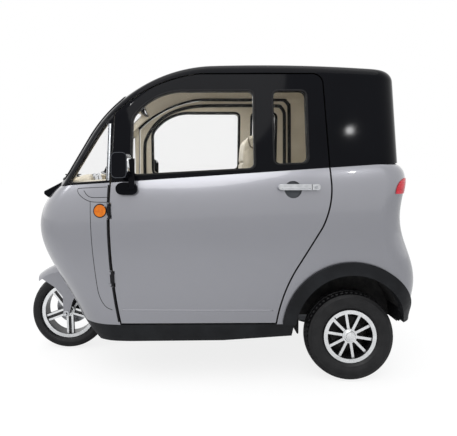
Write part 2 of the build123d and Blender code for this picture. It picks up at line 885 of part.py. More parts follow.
with BuildPart() as bench_back:
    bench_line = rounded_polygon(
        25,
        (bench_rear - 2, deck_top),
        (bench_rear - 92, deck_top),
        (bench_rear - 122, bench_back_top),
        (bench_rear - 42, bench_back_top),
    )
    add(side_block(bench_line, -420, 420))
    fillet(bench_back.edges().filter_by(lambda edge: abs(edge.center().Y) > 419), 20)
bench_back.part.label = "bench_back"

with BuildPart() as dashboard:
    dash_line = rounded_polygon(25, (640, 800), (590, 930), (600, 1000), (680, 1012), (900, 985), (900, 800))
    add(side_block(dash_line, -far, far))
    add(lower_form(wall + seam), mode=Mode.INTERSECT)
    add(steer_rod(stem_r + 12, 300, 1000), mode=Mode.SUBTRACT)
dashboard.part.label = "dashboard"

COWL_POINTS = [(858, 1046), (850, 1006), (944, 954), (966, 974), (966, 988)]
cowl_turn = 20
cowl_centre_x = LOWER_LEVELS[-1][1] - nose_arc_r
turn = radians(cowl_turn)
cowl_start = Plane((cowl_centre_x, 0, 0), x_dir=(cos(turn), -sin(turn), 0), z_dir=(-sin(turn), -cos(turn), 0))
with BuildPart() as cowl_lip:
    with BuildSketch(cowl_start) as cowl_outline:
        with BuildLine():
            Polyline(*((x - cowl_centre_x, z) for x, z in COWL_POINTS), close=True)
        make_face()
        fillet(cowl_outline.vertices(), 6)
    revolve(axis=Axis((cowl_centre_x, 0, 0), (0, 0, 1)), revolution_arc=2 * cowl_turn)
    add(cabin_form(-seam), mode=Mode.SUBTRACT)
    add(lower_form(-seam), mode=Mode.SUBTRACT)
cowl_lip.part.label = "cowl_lip"

# Front wheel, fork, mudguard and handlebar
axle_r = 8
with BuildPart() as front_fork:
    add(steer_rod(stem_r, bridge_at, bar_at))
    with BuildSketch(steer_plane(bridge_at - 20)):
        with Locations((fork_offset / 2, 0)):
            RectangleRounded(fork_offset + 56, 2 * fork_half + 50, 20)
    extrude(amount=36)
    for side in (-1, 1):
        with BuildSketch(steer_plane(-14)):
            with Locations((fork_offset, side * fork_half)):
                Circle(fork_leg_r)
        extrude(amount=bridge_at)
    with BuildSketch(Plane.XZ):
        with Locations((front_axle_x, axle_z)):
            Circle(axle_r)
    extrude(amount=fork_half, both=True)
front_fork.part.label = "front_fork"

guard_half = 100
guard_t = 5
guard_r = 256
guard_rise = 36
guard_back = 35
guard_sweep = 75
skirt_gap = 0.3
back = radians(guard_back)
guard_start = Plane((front_axle_x, 0, axle_z), x_dir=(0, 1, 0), z_dir=(cos(back), 0, sin(back)))
skirt_line = polygon(
    (1010, 446), (930, 392), (882, 335), (878, 222), (845, 222), (826, 300), (770, 420), (690, 470),
    (780, 560), (960, 560),
)
with BuildPart() as skirt_left:
    inner = fork_half + fork_leg_r + skirt_gap
    add(side_block(skirt_line, inner, inner + guard_t))
    add(side_block(disc(guard_r + 4, front_axle_x, axle_z), 0, far), mode=Mode.INTERSECT)

with BuildPart() as front_mudguard:
    with BuildSketch(guard_start):
        with BuildLine():
            ThreePointArc((-guard_half, guard_r), (0, guard_r + guard_rise), (guard_half, guard_r))
            Line((guard_half, guard_r), (guard_half - guard_t, guard_r))
            inner_top = (0, guard_r + guard_rise - guard_t)
            ThreePointArc((guard_half - guard_t, guard_r), inner_top, (guard_t - guard_half, guard_r))
            Line((guard_t - guard_half, guard_r), (-guard_half, guard_r))
        make_face()
    revolve(axis=Axis((front_axle_x, 0, axle_z), (0, 1, 0)), revolution_arc=guard_sweep)
    add(skirt_left.part)
    add(mirror(skirt_left.part, about=Plane.XZ, mode=Mode.PRIVATE))
    add(front_fork.part, mode=Mode.SUBTRACT)
front_mudguard.part.label = "front_mudguard"

with BuildPart() as handlebar:
    with BuildSketch(steer_plane(bar_at)):
        Circle(stem_r + 14)
    extrude(amount=40)
    with BuildLine(steer_plane(bar_at + 20)) as bar_path:
        Polyline((-bar_sweep, -bar_half), (0, -80), (0, 80), (-bar_sweep, bar_half))
    with BuildSketch(Plane(bar_path.line @ 0, z_dir=bar_path.line % 0)):
        Circle(bar_r)
    sweep(path=bar_path.line, transition=Transition.ROUND)
handlebar.part.label = "handlebar"


# Wheels: local x is the axle, local y the radius
def radial_plane(x, y):
    return Plane((x, y, axle_z), x_dir=(0, 1, 0), z_dir=(1, 0, 0))


def wheel_axis(x, y):
    return Axis((x, y, axle_z), (0, 1, 0))


flange_t = 7


def tyre(x, y, width, rim_r):
    """tyre seated between the rim's flanges, with a bulging side and a crowned tread"""
    half = width / 2
    bead = half - 20
    base_r = rim_r - 12 + bead_clear
    middle_r = (rim_r + tyre_r) / 2
    side = [
        (bead, base_r), (bead, rim_r + 1), (half - 4, middle_r - 16), (half, middle_r + 2),
        (half - 3, tyre_r - 20),
        (half - 12, tyre_r - 9), (half * 0.45, tyre_r - 1.5), (half * 0.18, tyre_r),
    ]
    with BuildPart(mode=Mode.PRIVATE) as body:
        with BuildSketch(radial_plane(x, y)):
            with BuildLine():
                Polyline(*side, *((-across, radius) for across, radius in reversed(side)), close=True)
            make_face()
        revolve(axis=wheel_axis(x, y))
    return body.part


def rim(x, y, width, rim_r, hub_r, bore_r, hub_low, hub_high, spokes, webs=()):
    """cast wheel: drop barrel with flanges, hub with its bore, and spokes from a table of angle and offset"""
    bead = width / 2 - 20 + bead_clear
    barrel_r = rim_r - 12
    lip = bead + flange_t
    with BuildPart(mode=Mode.PRIVATE) as body:
        with BuildSketch(radial_plane(x, y)):
            with BuildLine():
                Polyline(
                    (-lip, rim_r), (-bead, rim_r), (-bead, barrel_r), (bead, barrel_r),
                    (bead, rim_r), (lip, rim_r),
                    (lip, barrel_r - 8), (-lip, barrel_r - 8), close=True,
                )
            make_face()
        revolve(axis=wheel_axis(x, y))
        with BuildSketch(radial_plane(x, y)):
            with BuildLine():
                hub_points = [(hub_low, bore_r), (hub_high, bore_r), (hub_high, hub_r), (hub_low, hub_r)]
                Polyline(*hub_points, close=True)
            make_face()
        revolve(axis=wheel_axis(x, y))
        face = Plane((x, y, axle_z), x_dir=(1, 0, 0), z_dir=(0, 1, 0)).offset(lip - 34)
        with BuildSketch(face):
            for angle, shift, thick in spokes:
                with Locations(Rotation(0, 0, angle) * Location(((barrel_r + hub_r) / 2 - 6, shift))):
                    Rectangle(barrel_r - hub_r + 6, thick)
        extrude(amount=24)
        if webs:
            with BuildSketch(face.offset(6)):
                for angle, shift, thick in webs:
                    with Locations(Rotation(0, 0, angle) * Location(((barrel_r + hub_r) / 2 - 6, shift))):
                        Rectangle(barrel_r - hub_r + 6, thick)
            extrude(amount=12)
    return body.part


twin_spokes = [(72 * step + 20, side * 15, 12) for step in range(5) for side in (-1, 1)]
twin_webs = [(72 * step + 20, 0, 20) for step in range(5)]
ten_spokes = [(36 * step + 27, 0, 14) for step in range(10)]
with BuildPart() as front_tyre:
    add(tyre(front_axle_x, 0, front_tyre_width, front_rim_r))
front_tyre.part.label = "front_tyre"

with BuildPart() as front_rim:
    bore_r = axle_r + bearing_clear
    add(rim(front_axle_x, 0, front_tyre_width, front_rim_r, 34, bore_r, -45, 45, twin_spokes, twin_webs))
front_rim.part.label = "front_rim"

with BuildPart() as rear_tyre_left:
    add(tyre(rear_axle_x, wheel_y, rear_tyre_width, rear_rim_r))
rear_tyre_left.part.label = "rear_tyre_left"

with BuildPart() as rear_rim_left:
    bore_r = spindle_r + bearing_clear
    add(rim(rear_axle_x, wheel_y, rear_tyre_width, rear_rim_r, 38, bore_r, -50, 34, ten_spokes))
rear_rim_left.part.label = "rear_rim_left"

# Right-hand pieces mirror the left-hand ones
MIRRORED = {
    "fender": fender_left,
    "quarter": quarter_left,
    "door_panel": door_panel_left,
    "door_frame": door_frame_left,
    "door_glass": door_glass_left,
    "door_handle": door_handle_left,
    "door_mirror": door_mirror_left,
    "rear_tyre": rear_tyre_left,
    "rear_rim": rear_rim_left,
}
SINGLE = [
    nose_panel, tail_panel, rear_bumper, arch_flares, side_sills, roof, rear_upper, windscreen, rear_window,
    triangle_glass, door_hinges, side_markers, tail_lamps, headlamps, floor_pan, rear_deck, frame_rails,
    cross_members, steering_head, rear_axle, drive_motor, rear_suspension, battery_box, seat_cushion,
    seat_back, bench_cushion, bench_back, dashboard, cowl_lip, front_fork, front_mudguard, handlebar,
    front_tyre, front_rim,
]
for name, left in MIRRORED.items():
    with BuildPart() as right:
        mirror(left.part, about=Plane.XZ)
    right.part.label = name + "_right"
    export_step(left.part, f"parts/{name}_left.step")
    export_step(right.part, f"parts/{name}_right.step")
for piece in SINGLE:
    export_step(piece.part, f"parts/{piece.part.label}.step")
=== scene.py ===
"""Visual model of the electric microcar: paint, seals, tyres, seats and trim on its frame, in metres."""

import bpy
import bmesh
import math
from mathutils import Matrix, Vector
from mathutils.bvhtree import BVHTree


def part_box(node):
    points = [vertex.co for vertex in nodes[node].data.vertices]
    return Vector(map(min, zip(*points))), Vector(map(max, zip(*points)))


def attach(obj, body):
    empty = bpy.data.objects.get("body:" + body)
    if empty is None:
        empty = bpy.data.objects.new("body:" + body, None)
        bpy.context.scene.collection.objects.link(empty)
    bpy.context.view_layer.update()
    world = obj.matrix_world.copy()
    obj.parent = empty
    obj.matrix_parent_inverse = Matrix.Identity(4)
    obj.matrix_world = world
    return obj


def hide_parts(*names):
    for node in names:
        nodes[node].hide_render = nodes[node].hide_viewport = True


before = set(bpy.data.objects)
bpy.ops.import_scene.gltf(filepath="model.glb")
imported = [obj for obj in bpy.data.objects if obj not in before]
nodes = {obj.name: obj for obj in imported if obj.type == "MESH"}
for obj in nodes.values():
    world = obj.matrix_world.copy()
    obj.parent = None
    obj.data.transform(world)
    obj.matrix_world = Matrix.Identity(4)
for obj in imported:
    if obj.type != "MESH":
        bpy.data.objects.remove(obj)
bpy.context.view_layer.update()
scene = bpy.context.scene

# Materials
PATCH_LOW, PATCH_HIGH = 0.35, 0.65
NOISE_DETAIL = 2.0
BUMP_STRENGTH = 0.6
COAT_ROUGHNESS = 0.04
GLASS_ALPHA = 0.035
GLASS_GLOSS = 0.6


def blank(name):
    """new material with its nodes, its links and its main shader"""
    made = bpy.data.materials.new(name)
    made.use_nodes = True
    tree = made.node_tree
    return made, tree.nodes, tree.links, tree.nodes["Principled BSDF"]


def place_of(tree_nodes):
    """place in object space"""
    return tree_nodes.new("ShaderNodeTexCoord").outputs["Object"]


def noise(tree_nodes, links, scale):
    """noise in object space, in cycles per metre"""
    made = tree_nodes.new("ShaderNodeTexNoise")
    made.inputs["Scale"].default_value = scale
    made.inputs["Detail"].default_value = NOISE_DETAIL
    links.new(place_of(tree_nodes), made.inputs["Vector"])
    return made.outputs["Fac"]


def shade(tree_nodes, links, fac, low, high, socket):
    """drives a colour socket between two colours"""
    made = tree_nodes.new("ShaderNodeValToRGB")
    for stop, place, colour in zip(made.color_ramp.elements, (PATCH_LOW, PATCH_HIGH), (low, high)):
        stop.position = place
        stop.color = (*colour, 1)
    links.new(fac, made.inputs["Fac"])
    links.new(made.outputs["Color"], socket)


def spread(tree_nodes, links, fac, low, high, socket):
    """drives a number socket between two values"""
    made = tree_nodes.new("ShaderNodeMapRange")
    made.inputs["From Min"].default_value = PATCH_LOW
    made.inputs["From Max"].default_value = PATCH_HIGH
    made.inputs["To Min"].default_value = low
    made.inputs["To Max"].default_value = high
    links.new(fac, made.inputs["Value"])
    links.new(made.outputs["Result"], socket)


def bump(tree_nodes, links, height, depth, shader):
    """lifts a shader's surface by a height pattern"""
    made = tree_nodes.new("ShaderNodeBump")
    made.inputs["Distance"].default_value = depth
    made.inputs["Strength"].default_value = BUMP_STRENGTH
    links.new(height, made.inputs["Height"])
    links.new(made.outputs["Normal"], shader.inputs["Normal"])


def mixed(tree_nodes, links, sources, output):
    """leads a blend to an output: its factor, its first shader and its second shader"""
    made = tree_nodes.new("ShaderNodeMixShader")
    for source, socket in zip(sources, made.inputs):
        links.new(source, socket)
    links.new(made.outputs["Shader"], output.inputs["Surface"])


def grain_height(tree_nodes, links, kind, scale):
    """height pattern of a surface: noise, leather cells or lens ribs"""
    if kind == "noise":
        return noise(tree_nodes, links, scale)
    if kind == "cells":
        made = tree_nodes.new("ShaderNodeTexVoronoi")
        pattern = made.outputs["Distance"]
    else:
        made = tree_nodes.new("ShaderNodeTexWave")
        made.bands_direction = "Z"
        pattern = made.outputs["Fac"]
    made.inputs["Scale"].default_value = scale
    links.new(place_of(tree_nodes), made.inputs["Vector"])
    return pattern


# Finish: two colours, two roughnesses, metal, coat, gloss, patch scale, grain kind, grain scale, grain depth
FINISHES = {
    "silver_paint": (
        (0.262, 0.264, 0.290), (0.268, 0.270, 0.296), 0.285, 0.300, 0.6, 1.0, 0.5, 1.5, "noise", 220, 4e-6),
    "gloss_black": (
        (0.0032, 0.0035, 0.0050), (0.0042, 0.0045, 0.0062), 0.05, 0.08, 0.0, 0.0, 0.06, 2, "noise", 45, 6e-6),
    "satin_black": (
        (0.007, 0.0075, 0.009), (0.012, 0.013, 0.015), 0.40, 0.52, 0.0, 0.0, 0.16, 12, "noise", 1300, 1e-4),
    "rubber_seal": (
        (0.006, 0.006, 0.007), (0.011, 0.011, 0.012), 0.44, 0.58, 0.0, 0.0, 0.15, 20, "noise", 700, 5e-5),
    # near black for seams, and painted shade on the walls of the door and panel gaps
    "dark_seam_and_gap_shade": (
        (0.007, 0.007, 0.008), (0.014, 0.014, 0.016), 0.5, 0.65, 0.0, 0.0, 0.12, 20, "noise", 700, 2e-5),
    "cream_lining": (
        (0.70, 0.64, 0.52), (0.77, 0.71, 0.59), 0.48, 0.60, 0.0, 0.0, 0.3, 8, "noise", 1100, 8e-5),
    "cream_leather": (
        (0.69, 0.63, 0.50), (0.78, 0.72, 0.60), 0.36, 0.50, 0.0, 0.0, 0.4, 14, "cells", 420, 2.5e-4),
    "piping": (
        (0.20, 0.165, 0.12), (0.26, 0.22, 0.165), 0.42, 0.55, 0.0, 0.0, 0.35, 30, "cells", 700, 1e-4),
    "tyre_rubber": (
        (0.005, 0.005, 0.006), (0.010, 0.010, 0.011), 0.40, 0.55, 0.0, 0.0, 0.30, 22, "noise", 600, 2e-4),
    "chassis_black": (
        (0.012, 0.012, 0.013), (0.030, 0.028, 0.026), 0.38, 0.60, 0.1, 0.0, 0.4, 18, "noise", 400, 1.5e-4),
    "cast_alloy": (
        (0.38, 0.39, 0.41), (0.47, 0.48, 0.50), 0.34, 0.48, 0.9, 0.0, 0.5, 25, "noise", 500, 1.5e-4),
    "machined_alloy": (
        (0.76, 0.77, 0.78), (0.86, 0.87, 0.88), 0.20, 0.30, 1.0, 0.2, 0.5, 30, "noise", 1800, 3e-5),
    "pocket_black": (
        (0.008, 0.008, 0.009), (0.015, 0.015, 0.017), 0.22, 0.34, 0.0, 0.2, 0.4, 20, "noise", 600, 4e-5),
    "bright_chrome": (
        (0.60, 0.61, 0.63), (0.70, 0.71, 0.73), 0.06, 0.14, 1.0, 0.0, 0.5, 40, "noise", 90, 2e-5),
    "mirror_face": (
        (0.78, 0.80, 0.82), (0.84, 0.86, 0.88), 0.01, 0.03, 1.0, 0.0, 0.5, 6, "noise", 30, 1e-6),
    "floor_mat": (
        (0.018, 0.018, 0.019), (0.034, 0.033, 0.032), 0.65, 0.85, 0.0, 0.0, 0.2, 30, "cells", 320, 6e-4),
    "dial_face": (
        (0.006, 0.007, 0.010), (0.016, 0.020, 0.030), 0.10, 0.18, 0.0, 0.3, 0.5, 60, "noise", 300, 1e-5),
    "pale_mark": (
        (0.62, 0.63, 0.64), (0.74, 0.75, 0.76), 0.40, 0.55, 0.0, 0.0, 0.4, 40, "noise", 800, 2e-5),
    "amber_lens": (
        (0.56, 0.125, 0.002), (0.68, 0.180, 0.004), 0.12, 0.22, 0.0, 0.1, 0.3, 60, "cells", 190, 6e-4),
    "red_lens": (
        (0.58, 0.006, 0.020), (0.72, 0.018, 0.045), 0.10, 0.20, 0.0, 0.2, 0.3, 40, "ribs", 26, 6e-4),
    "white_lens": (
        (0.60, 0.63, 0.66), (0.80, 0.82, 0.84), 0.06, 0.14, 0.25, 0.8, 0.5, 50, "ribs", 30, 8e-4),
    # dark grey: painted shade in the door handles' finger recesses, and painted highlight on the door
    # mirrors' rims
    "painted_shade_and_highlight_grey": (
        (0.050, 0.055, 0.064), (0.064, 0.070, 0.080), 0.35, 0.45, 0.0, 0.0, 0.3, 20, "noise", 500, 2e-5),
    "pale_strip": (
        (0.56, 0.58, 0.61), (0.66, 0.68, 0.71), 0.22, 0.32, 0.5, 0.4, 0.5, 12, "noise", 900, 2e-5),
}


def finish_material(name):
    """material of one row of the finish table"""
    low, high, rough_low, rough_high, metal, coat, gloss, patch, kind, scale, depth = FINISHES[name]
    made, tree_nodes, links, shader = blank(name)
    shade(tree_nodes, links, noise(tree_nodes, links, patch), low, high, shader.inputs["Base Color"])
    wear = noise(tree_nodes, links, patch * 3)
    spread(tree_nodes, links, wear, rough_low, rough_high, shader.inputs["Roughness"])
    shader.inputs["Metallic"].default_value = metal
    shader.inputs["Coat Weight"].default_value = coat
    shader.inputs["Coat Roughness"].default_value = COAT_ROUGHNESS
    shader.inputs["Specular IOR Level"].default_value = gloss
    bump(tree_nodes, links, grain_height(tree_nodes, links, kind, scale), depth, shader)
    return made


def glass_material():
    """clear pane: mostly see-through, with faint smears in its gloss"""
    made, tree_nodes, links, shader = blank("clear_glass")
    dark, light = (0.030, 0.036, 0.036), (0.050, 0.058, 0.058)
    shade(tree_nodes, links, noise(tree_nodes, links, 6), dark, light, shader.inputs["Base Color"])
    spread(tree_nodes, links, noise(tree_nodes, links, 14), 0.01, 0.05, shader.inputs["Roughness"])
    shader.inputs["Alpha"].default_value = GLASS_ALPHA
    shader.inputs["Specular IOR Level"].default_value = GLASS_GLOSS
    return made


FINISH = {name: finish_material(name) for name in FINISHES}
FINISH["clear_glass"] = glass_material()

# Finish of each frame node: outer faces, inner faces, edges. The silver panels' edges, the walls of the door
# and panel gaps, are near black as painted shade in the gaps
DRESS = {
    "fender_left fender_right nose_panel": ("silver_paint", "satin_black", "dark_seam_and_gap_shade"),
    "quarter_left quarter_right tail_panel": ("silver_paint", "cream_lining", "dark_seam_and_gap_shade"),
    "door_panel_left door_panel_right": ("silver_paint", "cream_lining", "dark_seam_and_gap_shade"),
    "roof rear_upper door_frame_left door_frame_right": ("gloss_black", "cream_lining", "rubber_seal"),
    "rear_bumper arch_flares side_sills": ("satin_black",) * 3,
    "front_mudguard": ("silver_paint", "satin_black", "silver_paint"),
    "windscreen rear_window triangle_glass door_glass_left door_glass_right": ("clear_glass",) * 3,
    "door_handle_left door_handle_right": ("bright_chrome",) * 3,
    "door_mirror_left door_mirror_right cowl_lip": ("gloss_black",) * 3,
    "door_hinges": ("silver_paint", "silver_paint", "dark_seam_and_gap_shade"),
    "side_markers": ("amber_lens",) * 3,
    "tail_lamps": ("red_lens",) * 3,
    "headlamps": ("white_lens",) * 3,
    "floor_pan rear_deck": ("floor_mat",) * 3,
    "dashboard battery_box": ("cream_lining",) * 3,
    "frame_rails cross_members steering_head rear_axle rear_suspension": ("chassis_black",) * 3,
    "front_fork handlebar": ("chassis_black",) * 3,
    "drive_motor": ("cast_alloy",) * 3,
    "front_rim rear_rim_left rear_rim_right": ("machined_alloy", "pocket_black", "pocket_black"),
}
OUTER, INNER, EDGE, RECESS_SHADE = range(4)
LEAN = 0.4
SQUARE = 0.02
WALL_Y = 0.38
RIM_FLAT = 0.8
FRONT_RIM_FACE = 0.028
RECESS_X, RECESS_Z, RECESS_R = -0.420, 1.007, 0.0432
HINGE_LOW, HINGE_HIGH = Vector((0.484, 0.549, 0.560)), Vector((0.503, 0.545, 0.900))
KNUCKLE_R, KNUCKLE_HALF = 0.0095, 0.040


def outward(point):
    """direction out of the cabin at a point of its walls"""
    heart = Vector((min(max(point.x, -0.75), 0.5), 0, min(max(point.z, 0.6), 1.2)))
    return (point - heart).normalized()


def in_recess(point):
    """inside the round finger recess behind a door handle"""
    return math.hypot(point.x - RECESS_X, point.z - RECESS_Z) < RECESS_R


def near_hinge(point):
    """on the knuckles of a door hinge"""
    along = (HINGE_HIGH - HINGE_LOW).normalized()
    away = Vector((point.x, abs(point.y), point.z)) - HINGE_LOW
    from_pin = (away - along * away.dot(along)).length
    level = min(abs(point.z - HINGE_LOW.z), abs(point.z - HINGE_HIGH.z))
    return from_pin < KNUCKLE_R and level < KNUCKLE_HALF


def rim_index(name, face, middle_y):
    """finish of a rim's face: bright on its outer flats, dark in its pockets"""
    side = -1 if name.endswith("right") else 1
    if name == "front_rim":
        bright = abs(face.normal.y) > RIM_FLAT and abs(face.center.y) > FRONT_RIM_FACE
    else:
        bright = face.normal.y * side > RIM_FLAT and (face.center.y - middle_y) * side > 0
    return OUTER if bright else INNER


def wall_index(name, face, outer, edge):
    """finish of a wall's face: outer, inner, edge, or dark grey painted shade in the finger recess"""
    lean = face.normal.dot(outward(face.center))
    index = OUTER if lean > LEAN else (INNER if lean < -LEAN else EDGE)
    # The finger recess behind each door handle on the silver door is painted dark grey: painted shade in the
    # hollow.
    if name.startswith("door_panel") and index == OUTER and in_recess(face.center):
        index = RECESS_SHADE
    # Faces square to the side near the skin, the walls of the door gaps, take the dark edge finish: painted
    # shade in the gaps.
    if abs(face.normal.y) < SQUARE and abs(face.center.y) > WALL_Y and edge in ("rubber_seal", "dark_seam_and_gap_shade"):
        index = EDGE
    # Hinge knuckles in the door gap take the same dark finish: painted shade of the gap.
    if outer == "silver_paint" and near_hinge(face.center):
        index = EDGE
    return index


def dress(name, outer, inner, edge):
    """gives a frame node its finishes, face by face"""
    mesh = nodes[name].data
    mesh.materials.clear()
    for finish in (outer, inner, edge, "painted_shade_and_highlight_grey"):
        mesh.materials.append(FINISH[finish])
    low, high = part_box(name)
    middle_y = (low.y + high.y) / 2
    for face in mesh.polygons:
        if "_rim" in name:
            face.material_index = rim_index(name, face, middle_y)
        else:
            face.material_index = wall_index(name, face, outer, edge)


for names, finishes in DRESS.items():
    for node_name in names.split():
        dress(node_name, *finishes)

# Look of an added piece: its finish and its material slot
SEAL = ("rubber_seal", "plain_black")
SEAM = ("dark_seam_and_gap_shade", "plain_black")
MAT = ("floor_mat", "plain_black")
SATIN = ("satin_black", "trim_black")
STEEL = ("chassis_black", "frame_steel")
ALLOY = ("cast_alloy", "cast_alloy")
BRIGHT_ALLOY = ("machined_alloy", "cast_alloy")
CHROME = ("bright_chrome", "bright_steel")
MIRROR = ("mirror_face", "bright_steel")
HANDLE = ("cast_alloy", "handle_chrome")
LENS_RING = ("cast_alloy", "bright_steel")
PAINT = ("silver_paint", "body_silver")
# grey on the edges of the black mirror housings: painted highlight
RIM_HIGHLIGHT = ("painted_shade_and_highlight_grey", "trim_black")
LEATHER = ("cream_leather", "cabin_lining")
LINING = ("cream_lining", "cabin_lining")
CARD_CORD = ("piping", "cabin_lining")
SEAT_CORD = ("piping", "seat_leather")
RED = ("red_lens", "red_lens")

SIDES = ((1, "left"), (-1, "right"))
DOOR_BODIES = ("door_left", "door_right")
FIXED = ("chassis", "chassis")
OUTSIDE, INSIDE = 1.5, 0.1
UPWARD = Vector((0, 0, 1))
LEFTWARD = Vector((0, 1, 0))


# Pieces
def piece(name, mesh, body, look):
    """new smooth object that rides on a body"""
    finish, slot = look
    made = bpy.data.objects.new(name, mesh)
    scene.collection.objects.link(made)
    mesh.materials.append(FINISH[finish])
    for face in mesh.polygons:
        face.use_smooth = True
    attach(made, body)
    return made


def mesh_of(name, points, faces):
    """mesh from points and faces"""
    made = bpy.data.meshes.new(name)
    made.from_pydata([tuple(point) for point in points], [], faces)
    made.validate()
    return made


def quads(rows, wide, round_rows, round_columns):
    """faces between neighbouring rows of points, each row wide points long"""
    made = []
    for row in range(rows if round_rows else rows - 1):
        first, second = row * wide, (row + 1) % rows * wide
        for column in range(wide if round_columns else wide - 1):
            following = (column + 1) % wide
            made.append([first + column, first + following, second + following, second + column])
    return made


def sided(point, side):
    """a left-hand point, or its mirror image for side -1"""
    return Vector((point[0], side * point[1], point[2]))


def tree_of(*names):
    """search tree over the faces of some frame nodes"""
    points, faces = [], []
    for name in names:
        base = len(points)
        mesh = nodes[name].data
        points += [vertex.co.copy() for vertex in mesh.vertices]
        faces += [[base + index for index in face.vertices] for face in mesh.polygons]
    return BVHTree.FromPolygons(points, faces)


left_shell = tree_of(
    "fender_left", "door_panel_left", "door_frame_left", "quarter_left", "roof", "rear_upper")
front_shell = tree_of("nose_panel", "fender_left", "fender_right", "windscreen", "roof")
rear_shell = tree_of(
    "tail_panel", "rear_upper", "quarter_left", "quarter_right", "rear_window", "rear_bumper")


def laid(tree, starts, way):
    """first points of a shell met from start points along a way, each with the surface's direction"""
    path = []
    for start in starts:
        hit, normal, _, _ = tree.ray_cast(Vector(start), Vector(way))
        if hit is not None:
            path.append((hit, -normal if normal.dot(Vector(way)) > 0 else normal))
    return path


def side_path(outline, inside=False):
    """side-view points (x, z) laid on the left wall, from outside or from inside the cabin"""
    start_y, way_y = (INSIDE, 1) if inside else (OUTSIDE, -1)
    return laid(left_shell, [(x, start_y, z) for x, z in outline], (0, way_y, 0))


def end_path(tree, outline, end):
    """end-view points (y, z) laid on the nose, end 1, or on the tail, end -1"""
    return laid(tree, [(end * OUTSIDE, y, z) for y, z in outline], (-end, 0, 0))


def round_outline(points, radius, steps=5):
    """closed outline with each corner turned into a short curve"""
    made = []
    count = len(points)
    for index in range(count):
        here = Vector(points[index])
        before, after = Vector(points[index - 1]), Vector(points[(index + 1) % count])
        first = here + (before - here).normalized() * min(radius, (before - here).length / 2)
        last = here + (after - here).normalized() * min(radius, (after - here).length / 2)
        for step in range(steps + 1):
            part = step / steps
            made.append(first * (1 - part) ** 2 + here * 2 * part * (1 - part) + last * part**2)
    return made


def grown(outline, amount):
    """closed outline moved outwards by an amount"""
    points = [Vector(point) for point in outline]
    count = len(points)
    area = sum(points[i - 1].cross(points[i]) for i in range(count))
    made = []
    for index in range(count):
        along = (points[(index + 1) % count] - points[index - 1]).normalized()
        out = Vector((along.y, -along.x)) * (1 if area > 0 else -1)
        made.append(points[index] + out * amount)
    return made


def dense(points, closed, step=0.012):
    """outline with extra points along its straight stretches"""
    made = []
    pairs = zip(points, points[1:] + points[:1]) if closed else zip(points, points[1:])
    for first, last in pairs:
        first, last = Vector(first), Vector(last)
        count = max(1, int((last - first).length / step))
        made += [first + (last - first) * (index / count) for index in range(count)]
    return made if closed else made + [Vector(points[-1])]


def curved(points, steps=6):
    """smooth line through points"""
    made = []
    final = len(points) - 1
    for index in range(final):
        before, here, after, later = (
            Vector(points[min(max(index + offset, 0), final)]) for offset in (-1, 0, 1, 2))
        slope = after - before
        bend = 2 * before - 5 * here + 4 * after - later
        twist = 3 * here - before - 3 * after + later
        for step in range(steps):
            t = step / steps
            made.append(0.5 * (2 * here + slope * t + bend * t**2 + twist * t**3))
    return made + [Vector(points[-1])]


def ring_path(radius, count=48, centre=(0, 0)):
    """points of a circle"""
    turns = [2 * math.pi * index / count for index in range(count)]
    return [(centre[0] + radius * math.cos(turn), centre[1] + radius * math.sin(turn)) for turn in turns]


def round_profile(radius):
    """profile of a round rod"""
    return ring_path(radius, 10)


def half_round(width, height, sink=0.0006):
    """profile of a low rounded strip that dips just under the surface"""
    turns = [math.pi * index / 6 for index in range(7)]
    top = [(-width / 2 * math.cos(turn), height * math.sin(turn)) for turn in turns]
    return [(-width / 2, -sink)] + top + [(width / 2, -sink)]


def rod_path(points, up=UPWARD):
    """smooth line through points, each with the same side direction"""
    return [(spot, Vector(up)) for spot in curved([Vector(point) for point in points])]


def bead(name, path, profile, closed, body, look, flip=False):
    """strip with a set profile (across, up) along points that carry a surface direction"""
    spots = [point for point, _ in path]
    count, wide = len(path), len(profile)
    points = []
    for index, (spot, up) in enumerate(path):
        after = spots[(index + 1) % count] if closed or index < count - 1 else spot
        before = spots[index - 1] if closed or index > 0 else spot
        across = (after - before).normalized().cross(up).normalized()
        for out, rise in profile:
            points.append(sided(spot + across * out + up * rise, -1 if flip else 1))
    faces = quads(count, wide, closed, True)
    if not closed:
        faces.append(list(range(wide))[::-1])
        faces.append([(count - 1) * wide + index for index in range(wide)])
    if not flip:
        faces = [face[::-1] for face in faces]
    piece(name, mesh_of(name, points, faces), body, look)


def both_sides(name, path, profile, closed, bodies, look):
    """the same strip on the left and on the right"""
    bead(name + "_left", path, profile, closed, bodies[0], look)
    bead(name + "_right", path, profile, closed, bodies[1], look, flip=True)


def lathe(name, centre, axis, profile, body, look, steps=48):
    """turned piece: profile of (along the axis, radius)"""
    axis = Vector(axis).normalized()
    side = axis.orthogonal().normalized()
    other = axis.cross(side)
    points = []
    wide = len(profile)
    for step in range(steps):
        angle = 2 * math.pi * step / steps
        out = side * math.cos(angle) + other * math.sin(angle)
        points += [Vector(centre) + axis * along + out * radius for along, radius in profile]
    faces = quads(steps, wide, True, False)
    faces.append([step * wide for step in range(steps)])
    faces.append([step * wide + wide - 1 for step in range(steps)][::-1])
    made = piece(name, mesh_of(name, points, faces), body, look)
    made.data.set_sharp_from_angle(angle=math.radians(35))


